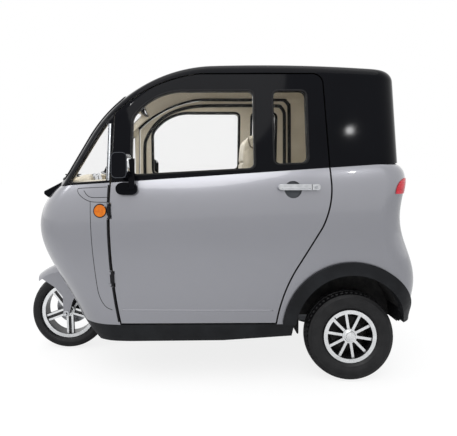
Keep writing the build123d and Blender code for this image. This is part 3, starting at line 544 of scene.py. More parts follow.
def block(name, centre, size, bevel, body, look, turn=(0, 0, 0), taper=1.0):
    """rounded block, its top face scaled by taper, turned by degrees about x, y and z"""
    shape = bmesh.new()
    bmesh.ops.create_cube(shape, size=1)
    for vertex in shape.verts:
        if vertex.co.z > 0:
            vertex.co.x *= taper
            vertex.co.y *= taper
    bmesh.ops.scale(shape, vec=size, verts=shape.verts)
    bmesh.ops.bevel(shape, geom=shape.edges[:], offset=bevel, segments=3, profile=0.5, affect="EDGES")
    about_x, about_y, about_z = (
        Matrix.Rotation(math.radians(angle), 4, axis) for angle, axis in zip(turn, "XYZ"))
    spin = about_z @ about_y @ about_x
    bmesh.ops.transform(shape, matrix=Matrix.Translation(centre) @ spin, verts=shape.verts)
    mesh = bpy.data.meshes.new(name)
    shape.to_mesh(mesh)
    shape.free()
    piece(name, mesh, body, look)
    mesh.set_sharp_from_angle(angle=math.radians(50))


def plate(name, outline, up, height, edge, body, look):
    """flat piece: an outline in space, raised along one direction, with a soft edge"""
    spots = [Vector(point) for point in outline]
    up = Vector(up).normalized()
    centre = sum(spots, Vector()) / len(spots)
    count = len(spots)
    rings = [(0, 0), (height - edge, 0), (height - edge * 0.3, edge * 0.3), (height, edge)]
    points = []
    for rise, inset in rings:
        points += [spot + up * rise + (centre - spot).normalized() * inset for spot in spots]
    faces = quads(len(rings), count, False, True)
    faces.append(list(range(count))[::-1])
    faces.append([3 * count + index for index in range(count)])
    made = piece(name, mesh_of(name, points, faces), body, look)
    shape = bmesh.new()
    shape.from_mesh(made.data)
    bmesh.ops.recalc_face_normals(shape, faces=shape.faces)
    shape.to_mesh(made.data)
    shape.free()
    made.data.set_sharp_from_angle(angle=math.radians(40))


# Tyres with a road tread, in place of the plain solids
TYRE_R = 0.2335
GROOVE = 0.0055
FRONT_BARS = 36
ZIGZAGS, SHOULDER_BLOCKS, SIPES = 48, 56, 112
WALL_STEPS, TREAD_STEPS, ROUND_STEPS = 24, 40, 336
WALL_RIBS, RIB_HEIGHT = (4, 5, 19, 20), 0.0016
FRONT_RIM_R, REAR_RIM_R = 0.167, 0.138


def tread_depth(kind, turn, across):
    """depth of the tread's grooves at a turn round the tyre and a place across it from -1 to 1"""
    edge = abs(across)
    stagger = 0.5 if across > 0 else 0
    if kind == "front":
        wave = (turn * FRONT_BARS + edge * 1.6 + stagger) % 1.0
        return GROOVE if edge < 0.06 or (0.18 < edge < 0.96 and wave < 0.22) else 0.0
    zigzag = 0.05 * (abs((turn * ZIGZAGS) % 1.0 - 0.5) * 4 - 1)
    rib = abs(edge - 0.30 - zigzag) < 0.055
    blocks = (turn * SHOULDER_BLOCKS + stagger) % 1.0 < 0.36 and edge > 0.62
    sipes = (turn * SIPES + across) % 1.0 < 0.16 and 0.38 < edge < 0.60
    return GROOVE if rib or blocks else (GROOVE * 0.5 if sipes else 0.0)


def tyre_profile(half, rim_r):
    """points across one tyre: place on the axle, radius, place across the tread or None on the walls"""
    foot, shoulder, shoulder_r = half - 0.020, half - 0.008, TYRE_R - 0.012
    foot_r = rim_r + 0.001
    middle_r = (rim_r + shoulder_r) / 2 + 0.004
    wall = []
    for step in range(WALL_STEPS + 1):
        radius = foot_r + (shoulder_r - rim_r - 0.001) * (step / WALL_STEPS)
        upper = radius > middle_r
        lean = (radius - middle_r) / (shoulder_r - middle_r if upper else middle_r - rim_r)
        out = half - (half - (shoulder if upper else foot)) * lean * lean
        wall.append((out + (RIB_HEIGHT if step in WALL_RIBS else 0.0), radius, None))
    sag = TYRE_R - shoulder_r
    tread = []
    for step in range(1, TREAD_STEPS):
        across = 1 - 2 * step / TREAD_STEPS
        tread.append((shoulder * across, TYRE_R - sag * across * across, across))
    base_r = rim_r - 0.0115
    right = [(-out, radius, None) for out, radius, _ in reversed(wall)]
    return [(foot, base_r, None)] + wall + tread + right + [(-foot, base_r, None)]


def road_tyre(node, body, kind, rim_r):
    """tyre with a cut tread, as wide as the frame's plain one"""
    low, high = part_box(node)
    centre = (low + high) / 2
    profile = tyre_profile((high.y - low.y) / 2, rim_r)
    points = []
    for step in range(ROUND_STEPS):
        turn = step / ROUND_STEPS
        angle = 2 * math.pi * turn
        for out, radius, across in profile:
            if across is not None:
                radius -= tread_depth(kind, turn, across)
            points.append(centre + Vector((radius * math.sin(angle), out, radius * math.cos(angle))))
    faces = [[a, d, c, b] for a, b, c, d in quads(ROUND_STEPS, len(profile), True, True)]
    name = "road_" + node
    made = piece(name, mesh_of(name, points, faces), body, ("tyre_rubber", "tyre_rubber"))
    made.data.set_sharp_from_angle(angle=math.radians(38))
    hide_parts(node)


road_tyre("front_tyre", "front_wheel", "front", FRONT_RIM_R)
for _, tag in SIDES:
    road_tyre(f"rear_tyre_{tag}", f"rear_wheel_{tag}", "rear", REAR_RIM_R)

# Hub caps, valves and brakes: profiles of (along the axle, radius)
FRONT_HUB = Vector((0.8615, 0, 0.2335))
REAR_HUB = Vector((-0.7385, 0.411, 0.2335))
CAP = [
    (0, 0.0295), (0.006, 0.0295), (0.0085, 0.027), (0.0085, 0.022), (0.0105, 0.0205), (0.0125, 0.012),
    (0.013, 0.002),
]
VALVE = [
    (0, 0.0045), (0.004, 0.0045), (0.005, 0.003), (0.020, 0.0028), (0.021, 0.0034), (0.030, 0.0034),
    (0.031, 0.002),
]
DRUM = [(0, 0.03), (0, 0.088), (0.004, 0.092), (0.022, 0.092), (0.025, 0.089), (0.025, 0.03)]
NUT = [
    (0, 0.017), (0.003, 0.017), (0.003, 0.012), (0.012, 0.012), (0.014, 0.0105), (0.019, 0.008),
    (0.020, 0.002),
]
DISC = [(0, 0.034), (0, 0.105), (0.0035, 0.105), (0.0035, 0.034)]
CALIPER_AT, CALIPER_SIZE = FRONT_HUB + Vector((-0.075, -0.0525, 0.074)), (0.058, 0.014, 0.042)
for side, tag in SIDES:
    body = f"rear_wheel_{tag}"
    hub = sided(REAR_HUB, side)
    valve_at = hub + Vector((0.073, side * 0.026, 0.0894))
    lathe(f"{body}_cap", hub + LEFTWARD * side * 0.034, (0, side, 0), CAP, body, BRIGHT_ALLOY)
    lathe(f"{body}_valve", valve_at, (0.10, side, 0.12), VALVE, body, ("rubber_seal", "trim_black"), 16)
    lathe(f"{body}_drum", hub - LEFTWARD * side * 0.054, (0, side, 0), DRUM, body, STEEL)
for side, _ in SIDES:
    ring_at, nut_at = (FRONT_HUB + LEFTWARD * side * out for out in (0.0455, 0.0995))
    lathe(f"front_hub_ring_{side + 1}", ring_at, (0, side, 0), CAP[:5], "front_wheel", BRIGHT_ALLOY)
    lathe(f"front_axle_nut_{side + 1}", nut_at, (0, side, 0), NUT, "steering", CHROME, 24)
lathe("front_brake_disc", FRONT_HUB - LEFTWARD * 0.0535, LEFTWARD, DISC, "front_wheel", ALLOY, 72)
block("front_caliper", CALIPER_AT, CALIPER_SIZE, 0.004, "steering", STEEL, (0, 44, 0))

# Window seals: side-view outlines laid on the walls
ARC_X, ARC_Z, ARC_R = 0.1341, 1.2073, 0.3076
arc_turns = [math.radians(32.4 + 62.1 * step / 8) for step in range(9)]
window_arc = [(ARC_X + ARC_R * math.cos(turn), ARC_Z + ARC_R * math.sin(turn)) for turn in arc_turns]
MAIN_WINDOW = [(-0.228, 1.117), (0.394, 1.083)] + window_arc + [(-0.228, 1.514)]
VENT_WINDOW = [(-0.334, 1.138), (-0.334, 1.514), (-0.500, 1.514), (-0.500, 1.145)]
TRIANGLE = [(0.522, 1.052), (0.522, 1.370), (0.728, 1.038)]
# Window: name, outline, corner radius, bodies, seal's width, inner seal's width and look
WINDOWS = [
    ("main_window", MAIN_WINDOW, 0.026, DOOR_BODIES, 0.010, 0.017, SEAL),
    ("vent_window", VENT_WINDOW, 0.028, DOOR_BODIES, 0.010, 0.017, SEAL),
    ("triangle", TRIANGLE, 0.010, FIXED, 0.006, 0.026, LINING),
]
for name, outline, radius, bodies, wide, inner_wide, inner_look in WINDOWS:
    soft = dense(round_outline(outline, radius), True)
    outer_path = side_path(grown(soft, wide * 0.55))
    inner_path = side_path(grown(soft, wide * 0.9), inside=True)
    both_sides(name + "_seal", outer_path, half_round(wide, 0.0035), True, bodies, SEAL)
    both_sides(name + "_inner_seal", inner_path, half_round(inner_wide, 0.005), True, bodies, inner_look)

# Pale strip on the post ahead of each door
POST = [(0.5158, 1.052), (0.5158, 1.345)]
post = side_path(dense(POST, False))
both_sides("post_strip", post, half_round(0.0165, 0.0022), False, FIXED, ("pale_strip", "body_silver"))

# Panel lines on the fenders, laid on the skin
LINE = half_round(0.0032, 0.0005, 0.0004)
FENDER_LINES = {
    "recess_line": [
        (0.500, 0.943), (0.575, 0.943), (0.608, 0.947), (0.642, 0.962), (0.668, 0.985), (0.674, 1.005),
        (0.650, 1.012), (0.500, 1.020),
    ],
    "recess_inner_line": [(0.512, 0.968), (0.590, 0.966), (0.620, 0.976), (0.640, 1.000)],
    "fender_line": [
        (0.603, 0.945), (0.598, 0.825), (0.588, 0.700), (0.568, 0.545), (0.552, 0.470), (0.522, 0.420),
        (0.487, 0.402),
    ],
}
for name, points in FENDER_LINES.items():
    both_sides(name, side_path(curved(points)), LINE, False, FIXED, SEAM)

# Lines and rings round lamps, glass and the nose
MARKER, MARKER_RING_R = (0.550, 0.900), 0.0325
HEADLAMP, BEZEL_R = (0.135, 0.800), 0.0665
SCREEN = [(-0.400, 1.062), (0.400, 1.062), (0.362, 1.500), (-0.362, 1.500)]
BACK_GLASS = [(-0.330, 1.185), (0.330, 1.185), (0.300, 1.490), (-0.300, 1.490)]
GLASS_SEAL = half_round(0.016, 0.0045)
NOSE_LINE = [(0.2258, 0.345 + 0.012 * index) for index in range(56)]
marker_ring = side_path(ring_path(MARKER_RING_R, centre=MARKER))
both_sides("marker_ring", marker_ring, half_round(0.006, 0.0035), True, FIXED, SEAL)
lamp_ring = end_path(front_shell, ring_path(BEZEL_R, centre=HEADLAMP), 1)
both_sides("headlamp_bezel", lamp_ring, half_round(0.011, 0.007), True, FIXED, CHROME)
for name, outline, radius, tree, end in (
    ("windscreen_seal", SCREEN, 0.04, front_shell, 1),
    ("rear_window_seal", BACK_GLASS, 0.045, rear_shell, -1),
):
    glass_edge = grown(dense(round_outline(outline, radius), True), 0.006)
    bead(name, end_path(tree, glass_edge, end), GLASS_SEAL, True, "chassis", SEAL)
both_sides("nose_line", end_path(front_shell, NOSE_LINE, 1), LINE, False, FIXED, SEAM)

# Seals inside each door and round its opening, a dark line ahead of it that is painted shade of the door gap,
# and the crease above its sill
DOOR_SEAL = [
    (0.462, 1.060), (0.458, 1.280), (0.440, 1.345), (0.395, 1.420), (0.330, 1.482), (0.250, 1.527),
    (0.150, 1.558), (0.040, 1.572), (-0.200, 1.576), (-0.500, 1.574), (-0.540, 1.562), (-0.562, 1.530),
    (-0.568, 1.480), (-0.578, 1.140),
]
OPENING_SEAL = [
    (0.496, 1.404), (0.433, 1.460), (0.364, 1.508), (0.290, 1.548), (0.213, 1.580), (0.132, 1.603),
    (0.049, 1.616), (-0.250, 1.616), (-0.539, 1.616), (-0.570, 1.608), (-0.592, 1.585), (-0.600, 1.555),
    (-0.609, 1.300), (-0.6165, 1.080), (-0.6165, 1.000), (-0.6098, 0.929), (-0.594, 0.868), (-0.5692, 0.813),
    (-0.517, 0.728), (-0.4642, 0.644), (-0.424, 0.573), (-0.388, 0.498), (-0.362, 0.430),
]
DOOR_GAP_SHADE = [
    [(0.5103, 1.030), (0.5110, 1.000), (0.5115, 0.942)],
    [(0.5110, 0.858), (0.5082, 0.780), (0.5000, 0.660), (0.4945, 0.602)],
    [(0.4840, 0.518), (0.4727, 0.440), (0.4552, 0.340)],
]
CREASE = [(0.440, 0.402), (0.200, 0.400), (0.0, 0.399), (-0.320, 0.398)]
door_seal = side_path(dense(curved(DOOR_SEAL, 4), False, 0.02), inside=True)
both_sides("door_seal", door_seal, half_round(0.024, 0.008), False, DOOR_BODIES, SEAL)
opening_seal = side_path(dense(curved(OPENING_SEAL, 4), False, 0.02), inside=True)
both_sides("opening_seal", opening_seal, half_round(0.026, 0.007), False, FIXED, SEAL)
# near-black strips on the fender along the door gap: painted shade
for index, stretch in enumerate(DOOR_GAP_SHADE):
    gap_shade_path = side_path(dense(curved(stretch, 4), False, 0.01))
    both_sides(f"door_front_line_{index}", gap_shade_path, half_round(0.0085, 0.0010), False, FIXED, SEAM)
crease = side_path(dense(CREASE, False, 0.02))
both_sides("sill_crease", crease, half_round(0.007, 0.0008), False, DOOR_BODIES, PAINT)

# Door handles: seam round the grip, lock line, line under the grip and keyhole
HANDLE_X, HANDLE_Y, HANDLE_Z = -0.447, 0.570, 1.020
SEAM_HALF, SEAM_R = 0.090, 0.0125
BARREL = [(0, 0.0085), (0.003, 0.0085), (0.0042, 0.0075), (0.0042, 0.003), (0.0034, 0.0025), (0.0034, 0.0005)]


def handle_path(outline):
    """side-view points laid on the outer face of the left handle"""
    return [(Vector((x, HANDLE_Y - 0.0004, z)), LEFTWARD) for x, z in outline]


grip_seam = []
for end_x, first in ((HANDLE_X - SEAM_HALF, 90), (HANDLE_X + SEAM_HALF, -90)):
    for step in range(13):
        turn = math.radians(first + 180 * step / 12)
        grip_seam.append((end_x + SEAM_R * math.cos(turn), HANDLE_Z + SEAM_R * math.sin(turn)))
grip_path = handle_path(dense(grip_seam, True))
lock_path = handle_path([(HANDLE_X - 0.062, HANDLE_Z - 0.0145 + 0.00242 * i) for i in range(13)])
under_path = handle_path([(HANDLE_X - 0.055 + 0.012 * i, HANDLE_Z - 0.006) for i in range(13)])
both_sides("handle_seam", grip_path, half_round(0.0026, 0.0009), True, DOOR_BODIES, HANDLE)
both_sides("handle_lock_line", lock_path, half_round(0.0034, 0.0010), False, DOOR_BODIES, SEAM)
both_sides("handle_under_line", under_path, half_round(0.0050, 0.0010), False, DOOR_BODIES, HANDLE)
for side, tag in SIDES:
    keyhole = sided((HANDLE_X - 0.083, HANDLE_Y - 0.002, HANDLE_Z), side)
    lathe(f"keyhole_door_{tag}", keyhole, (0, side, 0), BARREL, f"door_{tag}", ALLOY, 24)

# Mud flaps ahead of and behind each rear wheel, and dust shields behind the rims
FLAPS = {
    "flap_front": (-0.452, [(0.315, 0.262), (0.500, 0.262), (0.505, 0.400), (0.315, 0.400)]),
    "flap_rear": (-0.986, [(0.352, 0.318), (0.470, 0.318), (0.480, 0.455), (0.340, 0.455)]),
}
SHIELD = [(0, 0.062), (0, 0.134), (0.003, 0.136), (0.006, 0.134), (0.006, 0.062)]
SHIELD_Y = 0.344
for side, tag in SIDES:
    for name, (flap_x, outline) in FLAPS.items():
        around = [(flap_x, side * y, z) for y, z in round_outline(outline, 0.018)]
        plate(f"{name}_{tag}", around, (-1, 0, 0), 0.005, 0.0015, "chassis", SEAL)
    shield_at = Vector((REAR_HUB.x, side * SHIELD_Y, REAR_HUB.z))
    lathe(f"dust_shield_{tag}", shield_at, (0, side, 0), SHIELD, "chassis", STEEL, 64)

# Headlamp rings and bumper reflectors
LENS_RINGS = (0.046, 0.022)
REFLECTOR = (0.37, 0.392)
REFLECTOR_HALF = (0.040, 0.014)
lens_shell = tree_of("headlamps")
for index, radius in enumerate(LENS_RINGS):
    lens_ring = end_path(lens_shell, ring_path(radius, centre=HEADLAMP), 1)
    both_sides(f"headlamp_ring_{index}", lens_ring, half_round(0.005, 0.0022), True, FIXED, LENS_RING)
reflector_spot, reflector_up = end_path(rear_shell, [REFLECTOR], -1)[0]
reflector_side = reflector_up.cross(UPWARD).normalized()
reflector_rise = reflector_side.cross(reflector_up)
oval = [
    reflector_spot + reflector_side * (u * REFLECTOR_HALF[0]) + reflector_rise * (v * REFLECTOR_HALF[1])
    for u, v in ring_path(1.0, 32)
]
for side, _ in SIDES:
    around = [sided(point, side) for point in oval]
    plate(f"reflector_{side + 1}", around, sided(reflector_up, side), 0.005, 0.002, "chassis", RED)

# Door mirrors' rim, a grey bead painted as highlight on the edge of the black housing, and glass
MIRROR_RIM = round_outline([(0.390, 1.069), (0.460, 1.069), (0.460, 1.187), (0.390, 1.187)], 0.024)
MIRROR_GLASS = round_outline([(0.585, 1.096), (0.688, 1.096), (0.688, 1.161), (0.585, 1.161)], 0.014)
MIRROR_OUT_Y, MIRROR_BACK_X = 0.6946, 0.3872
mirror_highlight_rim = [(Vector((x, MIRROR_OUT_Y, z)), LEFTWARD) for x, z in dense(MIRROR_RIM, True)]
both_sides("mirror_highlight_rim", mirror_highlight_rim, half_round(0.0026, 0.0014), True, DOOR_BODIES, RIM_HIGHLIGHT)
for side, tag in SIDES:
    glass = [(MIRROR_BACK_X, side * y, z) for y, z in MIRROR_GLASS]
    plate(f"mirror_glass_door_{tag}", glass, (-1, 0, 0), 0.0035, 0.0012, f"door_{tag}", MIRROR)

# Wiper at rest along the foot of the windscreen
BLADE = [(0.30, 1.078), (0.16, 1.074), (0.0, 1.073), (-0.13, 1.074)]
ARM = [(-0.17, 1.052), (-0.12, 1.062), (-0.02, 1.073), (0.09, 1.075)]
PIVOT = (-0.17, 1.050)
PIVOT_CAP = [(-0.004, 0.014), (0.008, 0.013), (0.011, 0.011), (0.014, 0.010), (0.016, 0.006), (0.0165, 0.001)]
RUBBER_PROFILE = [(-0.0015, 0.0002), (-0.003, 0.006), (0.003, 0.006), (0.0015, 0.0002)]
HOLDER_PROFILE = [(-0.004, 0.0055), (-0.003, 0.009), (0.003, 0.009), (0.004, 0.0055)]
ARM_PROFILE = [(-0.005, 0.0075), (-0.004, 0.013), (0.004, 0.013), (0.005, 0.0075)]
blade_path = end_path(front_shell, curved(BLADE), 1)
arm_path = end_path(front_shell, curved(ARM), 1)
bead("wiper_rubber", blade_path, RUBBER_PROFILE, False, "chassis", SEAL)
bead("wiper_holder", blade_path[2:-2], HOLDER_PROFILE, False, "chassis", SATIN)
bead("wiper_arm", arm_path, ARM_PROFILE, False, "chassis", SATIN)
pivot_spot, pivot_up = end_path(front_shell, [PIVOT], 1)[0]
lathe("wiper_pivot", pivot_spot, pivot_up, PIVOT_CAP, "chassis", SATIN, 24)

# Handlebar: grips, levers, switch pods and switches
BAR_BEND = Vector((0.6147, 0.080, 1.0995))
BAR_END = Vector((0.5371, 0.270, 1.0801))
GRIP_LENGTH, POD_BACK, LEVER_ROOT = 0.120, 0.026, 0.064
GRIP = [(0, 0.0125), (0.001, 0.0185), (0.004, 0.0185), (0.006, 0.0155)]
for ridge in range(14):
    start = 0.009 + ridge * 0.0075
    GRIP += [(start, 0.0152), (start + 0.0015, 0.0164), (start + 0.0045, 0.0164), (start + 0.006, 0.0152)]
GRIP += [(0.116, 0.0165), (0.121, 0.0165), (0.123, 0.0125)]
LEVER = [(0.030, 0.064), (0.045, 0.052), (0.048, 0.020), (0.046, -0.030), (0.040, -0.070)]
POD_SIZE = (0.046, 0.044, 0.042)
KNOB = [(0, 0.0055), (0.003, 0.0055), (0.0045, 0.004), (0.005, 0.001)]
KNOBS = ((0.010, "amber_lens"), (-0.006, "pale_mark"))
bar_way = (BAR_END - BAR_BEND).normalized()
for side, tag in SIDES:
    way = sided(bar_way, side)
    start = sided(BAR_END, side) - way * GRIP_LENGTH
    lathe(f"grip_{tag}", start, way, GRIP, "steering", SEAL, 32)
    pod = start - way * POD_BACK
    block(f"switch_pod_{tag}", pod, POD_SIZE, 0.009, "steering", SATIN, (0, 0, side * -22))
    ahead = Vector((way.y * side, -way.x * side, 0)).normalized()
    lever = [start - way * (POD_BACK - LEVER_ROOT + along) + ahead * out for out, along in LEVER]
    bead(f"lever_{tag}", rod_path(lever), round_profile(0.0055), False, "steering", ALLOY)
    for index, (shift, finish) in enumerate(KNOBS):
        knob_at = pod + Vector((-0.024, 0, shift))
        lathe(f"switch_{tag}_{index}", knob_at, (-1, 0, 0.1), KNOB, "steering", (finish, "plain_black"), 16)

# Dial cluster on a cream hood on the dashboard
HOOD = [(0.690, 1.006), (0.700, 1.060), (0.716, 1.078), (0.760, 1.074), (0.810, 1.050), (0.845, 1.004)]
HOOD_FOOT = 1.004
HOOD_LEFT = [(-0.150, 0.0), (-0.146, 0.62), (-0.130, 0.90), (-0.096, 1.0)]
hood_line = curved(HOOD)
hood_rows = HOOD_LEFT + [(-across, rise) for across, rise in HOOD_LEFT[::-1]]
hood_points = []
for across, rise in hood_rows:
    hood_points += [(x, across, HOOD_FOOT + (z - HOOD_FOOT) * rise) for x, z in hood_line]
hood_faces = quads(len(hood_rows), len(hood_line), False, False)
hood_faces.append([row * len(hood_line) for row in range(len(hood_rows))])
piece("dial_hood", mesh_of("dial_hood", hood_points, hood_faces), "chassis", LINING)

DIAL_TILT = Vector((-1, 0, 0.30)).normalized()
DIAL_R = 0.040
DIAL_X, DIAL_Z = 0.6965, 1.044
DIAL = [
    (-0.012, DIAL_R), (0.006, DIAL_R), (0.008, DIAL_R - 0.002), (0.008, DIAL_R - 0.004),
    (0.003, DIAL_R - 0.005), (0.0025, 0.002),
]
DIAL_RIM = [
    (0.0035, DIAL_R - 0.0015), (0.0035, DIAL_R + 0.002), (0.007, DIAL_R + 0.002), (0.0095, DIAL_R),
    (0.0095, DIAL_R - 0.0015),
]
dial_up = DIAL_TILT.cross(LEFTWARD)


def dial_mark(name, spot, degrees, lift, reach, halves, height, edge, look):
    """thin straight mark on a dial, from and to a distance from its middle"""
    turn = math.radians(degrees)
    out = LEFTWARD * math.sin(turn) + dial_up * math.cos(turn)
    along = DIAL_TILT.cross(out)
    near, far = (spot + DIAL_TILT * lift + out * distance for distance in reach)
    near_half, far_half = (along * half for half in halves)
    outline = [near + near_half, far + far_half, far - far_half, near - near_half]
    plate(name, outline, DIAL_TILT, height, edge, "chassis", look)


for index, dial_y in enumerate((0.050, -0.050)):
    spot = Vector((DIAL_X, dial_y, DIAL_Z))
    lathe(f"dial_{index}", spot, DIAL_TILT, DIAL, "chassis", ("dial_face", "plain_black"))
    lathe(f"dial_rim_{index}", spot, DIAL_TILT, DIAL_RIM, "chassis", CHROME)
    for tick in range(11):
        dial_mark(
            f"dial_{index}_tick_{tick}", spot, -130 + 26 * tick, 0.0042, (DIAL_R - 0.013, DIAL_R - 0.007),
            (0.0007, 0.0007), 0.0004, 0.0001, ("pale_mark", "bright_steel"))
    dial_mark(
        f"dial_{index}_needle", spot, -70 + 40 * index, 0.0052, (-0.006, DIAL_R - 0.010),
        (0.0014, 0.0004), 0.0006, 0.0002, RED)

# Mirror inside the windscreen
INNER_MIRROR = [(-0.105, 1.450), (0.105, 1.450), (0.105, 1.502), (-0.105, 1.502)]
INNER_MIRROR_X, INNER_MIRROR_Z = 0.386, 1.476
around = round_outline(INNER_MIRROR, 0.018)
shell = [(INNER_MIRROR_X, y, z) for y, z in around]
inset = [(INNER_MIRROR_X, y * 0.95, INNER_MIRROR_Z + (z - INNER_MIRROR_Z) * 0.86) for y, z in around]
plate("inner_mirror_shell", shell, (1, 0, 0), 0.022, 0.010, "chassis", SATIN)
plate("inner_mirror_glass", inset, (-1, 0, 0), 0.002, 0.0008, "chassis", MIRROR)
roof_shell = tree_of("roof")
header = roof_shell.ray_cast(Vector((0.420, 0, 1.45)), Vector((0.25, 0, 1)))[0]
stem = [(0.402, 0, 1.480), (0.415, 0, 1.500), header + Vector((0.001, 0, 0.004))]
bead("inner_mirror_stem", rod_path(stem, LEFTWARD), round_profile(0.006), False, "chassis", SATIN)

# Roof lamp and floor mats
ROOF_LAMP = [(-0.20, -0.045), (-0.10, -0.045), (-0.10, 0.045), (-0.20, 0.045)]
FLOOR_MAT = [(0.115, 0.045), (0.470, 0.045), (0.530, 0.250), (0.560, 0.430), (0.115, 0.455)]
FLOOR = 0.3002
lining = roof_shell.ray_cast(Vector((-0.15, 0, 1.3)), UPWARD)[0]
lamp_edge = [(x, y, lining.z + 0.002) for x, y in round_outline(ROOF_LAMP, 0.02)]
plate("roof_lamp", lamp_edge, (0, 0, -1), 0.014, 0.006, "chassis", ("white_lens", "white_lens"))
for side, tag in SIDES:
    mat = [(x, side * y, FLOOR) for x, y in round_outline(FLOOR_MAT, 0.03)]
    plate(f"floor_mat_{tag}", mat, UPWARD, 0.006, 0.002, "chassis", MAT)
    for rib in range(9):
        rib_y = side * (0.075 + rib * 0.043)
        rib_path = [(Vector((0.135 + 0.032 * i, rib_y, FLOOR + 0.0058)), UPWARD) for i in range(11)]
        bead(f"mat_rib_{tag}_{rib}", rib_path, half_round(0.010, 0.0028), False, "chassis", MAT)

# Pedal
PEDAL_AT = Vector((0.475, -0.150, 0.385))
PEDAL_FACE = Vector((-0.62, 0, 0.78)).normalized()
PEDAL_RISE = Vector((0.78, 0, 0.62))
PEDAL_PAD = round_outline([(-0.040, -0.034), (0.040, -0.034), (0.040, 0.034), (-0.040, 0.034)], 0.012)
PEDAL_FOOT_SIZE = (0.060, 0.050, 0.012)
pad = [PEDAL_AT + PEDAL_RISE * u + LEFTWARD * v for u, v in PEDAL_PAD]
plate("pedal_pad", pad, PEDAL_FACE, 0.010, 0.003, "chassis", SEAL)
for rib in range(5):
    spot = PEDAL_AT + PEDAL_RISE * (-0.028 + 0.014 * rib) + PEDAL_FACE * 0.0098
    rib_path = [(spot + LEFTWARD * (-0.027 + 0.009 * i), PEDAL_FACE) for i in range(7)]
    bead(f"pedal_rib_{rib}", rib_path, half_round(0.006, 0.003), False, "chassis", SEAL)
pedal_arm = [PEDAL_AT, PEDAL_AT + Vector((0.030, 0, -0.030)), PEDAL_AT + Vector((0.046, 0, -0.0855))]
bead("pedal_arm", rod_path(pedal_arm, LEFTWARD), round_profile(0.008), False, "chassis", STEEL)
block("pedal_foot", PEDAL_AT + Vector((0.046, 0, -0.080)), PEDAL_FOOT_SIZE, 0.003, "chassis", STEEL)

# Door cards: padded panel line, armrest, pull and release
CARD = [(-0.30, 0.44), (0.40, 0.44), (0.44, 0.62), (0.43, 0.96), (-0.48, 0.98), (-0.42, 0.62)]
PULL = [
    (0.19, -0.012, 0.028), (0.235, -0.030, 0.060), (0.250, -0.034, 0.110), (0.232, -0.024, 0.160),
    (0.215, 0.012, 0.190),
]
REST_SIZE, CUP_SIZE, RELEASE_SIZE = (0.46, 0.058, 0.060), (0.105, 0.012, 0.046), (0.062, 0.010, 0.018)
card_path = side_path(dense(round_outline(CARD, 0.05), True), inside=True)
both_sides("door_card_line", card_path, half_round(0.009, 0.004), True, DOOR_BODIES, CARD_CORD)
rest_spot = side_path([(-0.06, 0.76)], inside=True)[0][0]
cup_spot = side_path([(0.30, 0.905)], inside=True)[0][0]
for side, tag in SIDES:
    body = f"door_{tag}"
    rest = sided(rest_spot - LEFTWARD * 0.020, side)
    cup = sided(cup_spot + LEFTWARD * 0.001, side)
    release = cup - Vector((0.010, side * 0.009, 0))
    pull = [Vector((rest.x + x, side * (rest_spot.y + y), rest.z + z)) for x, y, z in PULL]
    block(f"armrest_{body}", rest, REST_SIZE, 0.020, body, LEATHER, (side * 8, 0, 0), 0.92)
    bead(f"door_pull_{body}", rod_path(pull, (1, 0, 0)), round_profile(0.010), False, body, CARD_CORD)
    block(f"release_cup_{body}", cup, CUP_SIZE, 0.005, body, SATIN)
    block(f"release_lever_{body}", release, RELEASE_SIZE, 0.004, body, CHROME, (0, 0, side * 6))

# Cushions: the plain solids blown up as leather covers, then sewn
BLOW_CAP = 0.022
PRESSURE = 4
CLOTH_FRAMES = 20
SEAM_DEPTH, SEAM_WIDTH = 0.009, 0.008
FAR = 9.0
FRONT, TOP = 0, 2


def settle(made):
    """applies an object's modifiers to its mesh"""
    ready = made.evaluated_get(bpy.context.evaluated_depsgraph_get())
    mesh = bpy.data.meshes.new_from_object(ready)
    made.modifiers.clear()
    made.data = mesh


def soft_copy(node, shrink, voxel):
    """smaller copy of a node's solid with an even mesh, its foot kept in place"""
    low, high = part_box(node)
    middle = (low + high) / 2
    size = high - low
    mesh = nodes[node].data.copy()
    for vertex in mesh.vertices:
        for axis, part in enumerate(shrink):
            anchor = low[axis] if axis == 2 else middle[axis]
            vertex.co[axis] = anchor + (vertex.co[axis] - anchor) * (1 - part / size[axis])
    made = bpy.data.objects.new("cover_" + node, mesh)
    scene.collection.objects.link(made)
    even = made.modifiers.new("even", "REMESH")
    even.mode = "VOXEL"
    even.voxel_size = voxel
    settle(made)
    return made


def blow(made, foot):
    """cloth under pressure, its foot held, no point moving further than the cap"""
    before = [vertex.co.copy() for vertex in made.data.vertices]
    held = made.vertex_groups.new(name="held")
    held.add([index for index, spot in enumerate(before) if spot.z < foot], 1.0, "REPLACE")
    cloth = made.modifiers.new("cloth", "CLOTH")
    cloth.settings.use_pressure = True
    cloth.settings.uniform_pressure_force = PRESSURE
    cloth.settings.effector_weights.gravity = 0
    cloth.settings.vertex_group_mass = "held"
    cloth.settings.quality = 4
    cloth.collision_settings.use_collision = False
    cloth.point_cache.frame_start = 1
    cloth.point_cache.frame_end = CLOTH_FRAMES
    for frame_number in range(1, CLOTH_FRAMES + 1):
        scene.frame_set(frame_number)
    settle(made)
    for vertex, old in zip(made.data.vertices, before):
        move = vertex.co - old
        if move.length > BLOW_CAP:
            vertex.co = old + move.normalized() * BLOW_CAP
    scene.frame_set(1)


def sew(made, seams):
    """presses sewn lines into a cover: each seam gives a point's distance from it"""
    normals = [vertex.normal.copy() for vertex in made.data.vertices]
    for vertex, normal in zip(made.data.vertices, normals):
        near = min(seam(vertex.co, normal) for seam in seams)
        if near < SEAM_WIDTH * 3:
            vertex.co -= normal * SEAM_DEPTH * math.exp(-((near / SEAM_WIDTH) ** 2))


def aside(spot):
    """distance from the middle plane"""
    return abs(spot.y)


def along_of(spot):
    """place along the car"""
    return spot.x


def up_of(spot):
    """height"""
    return spot.z


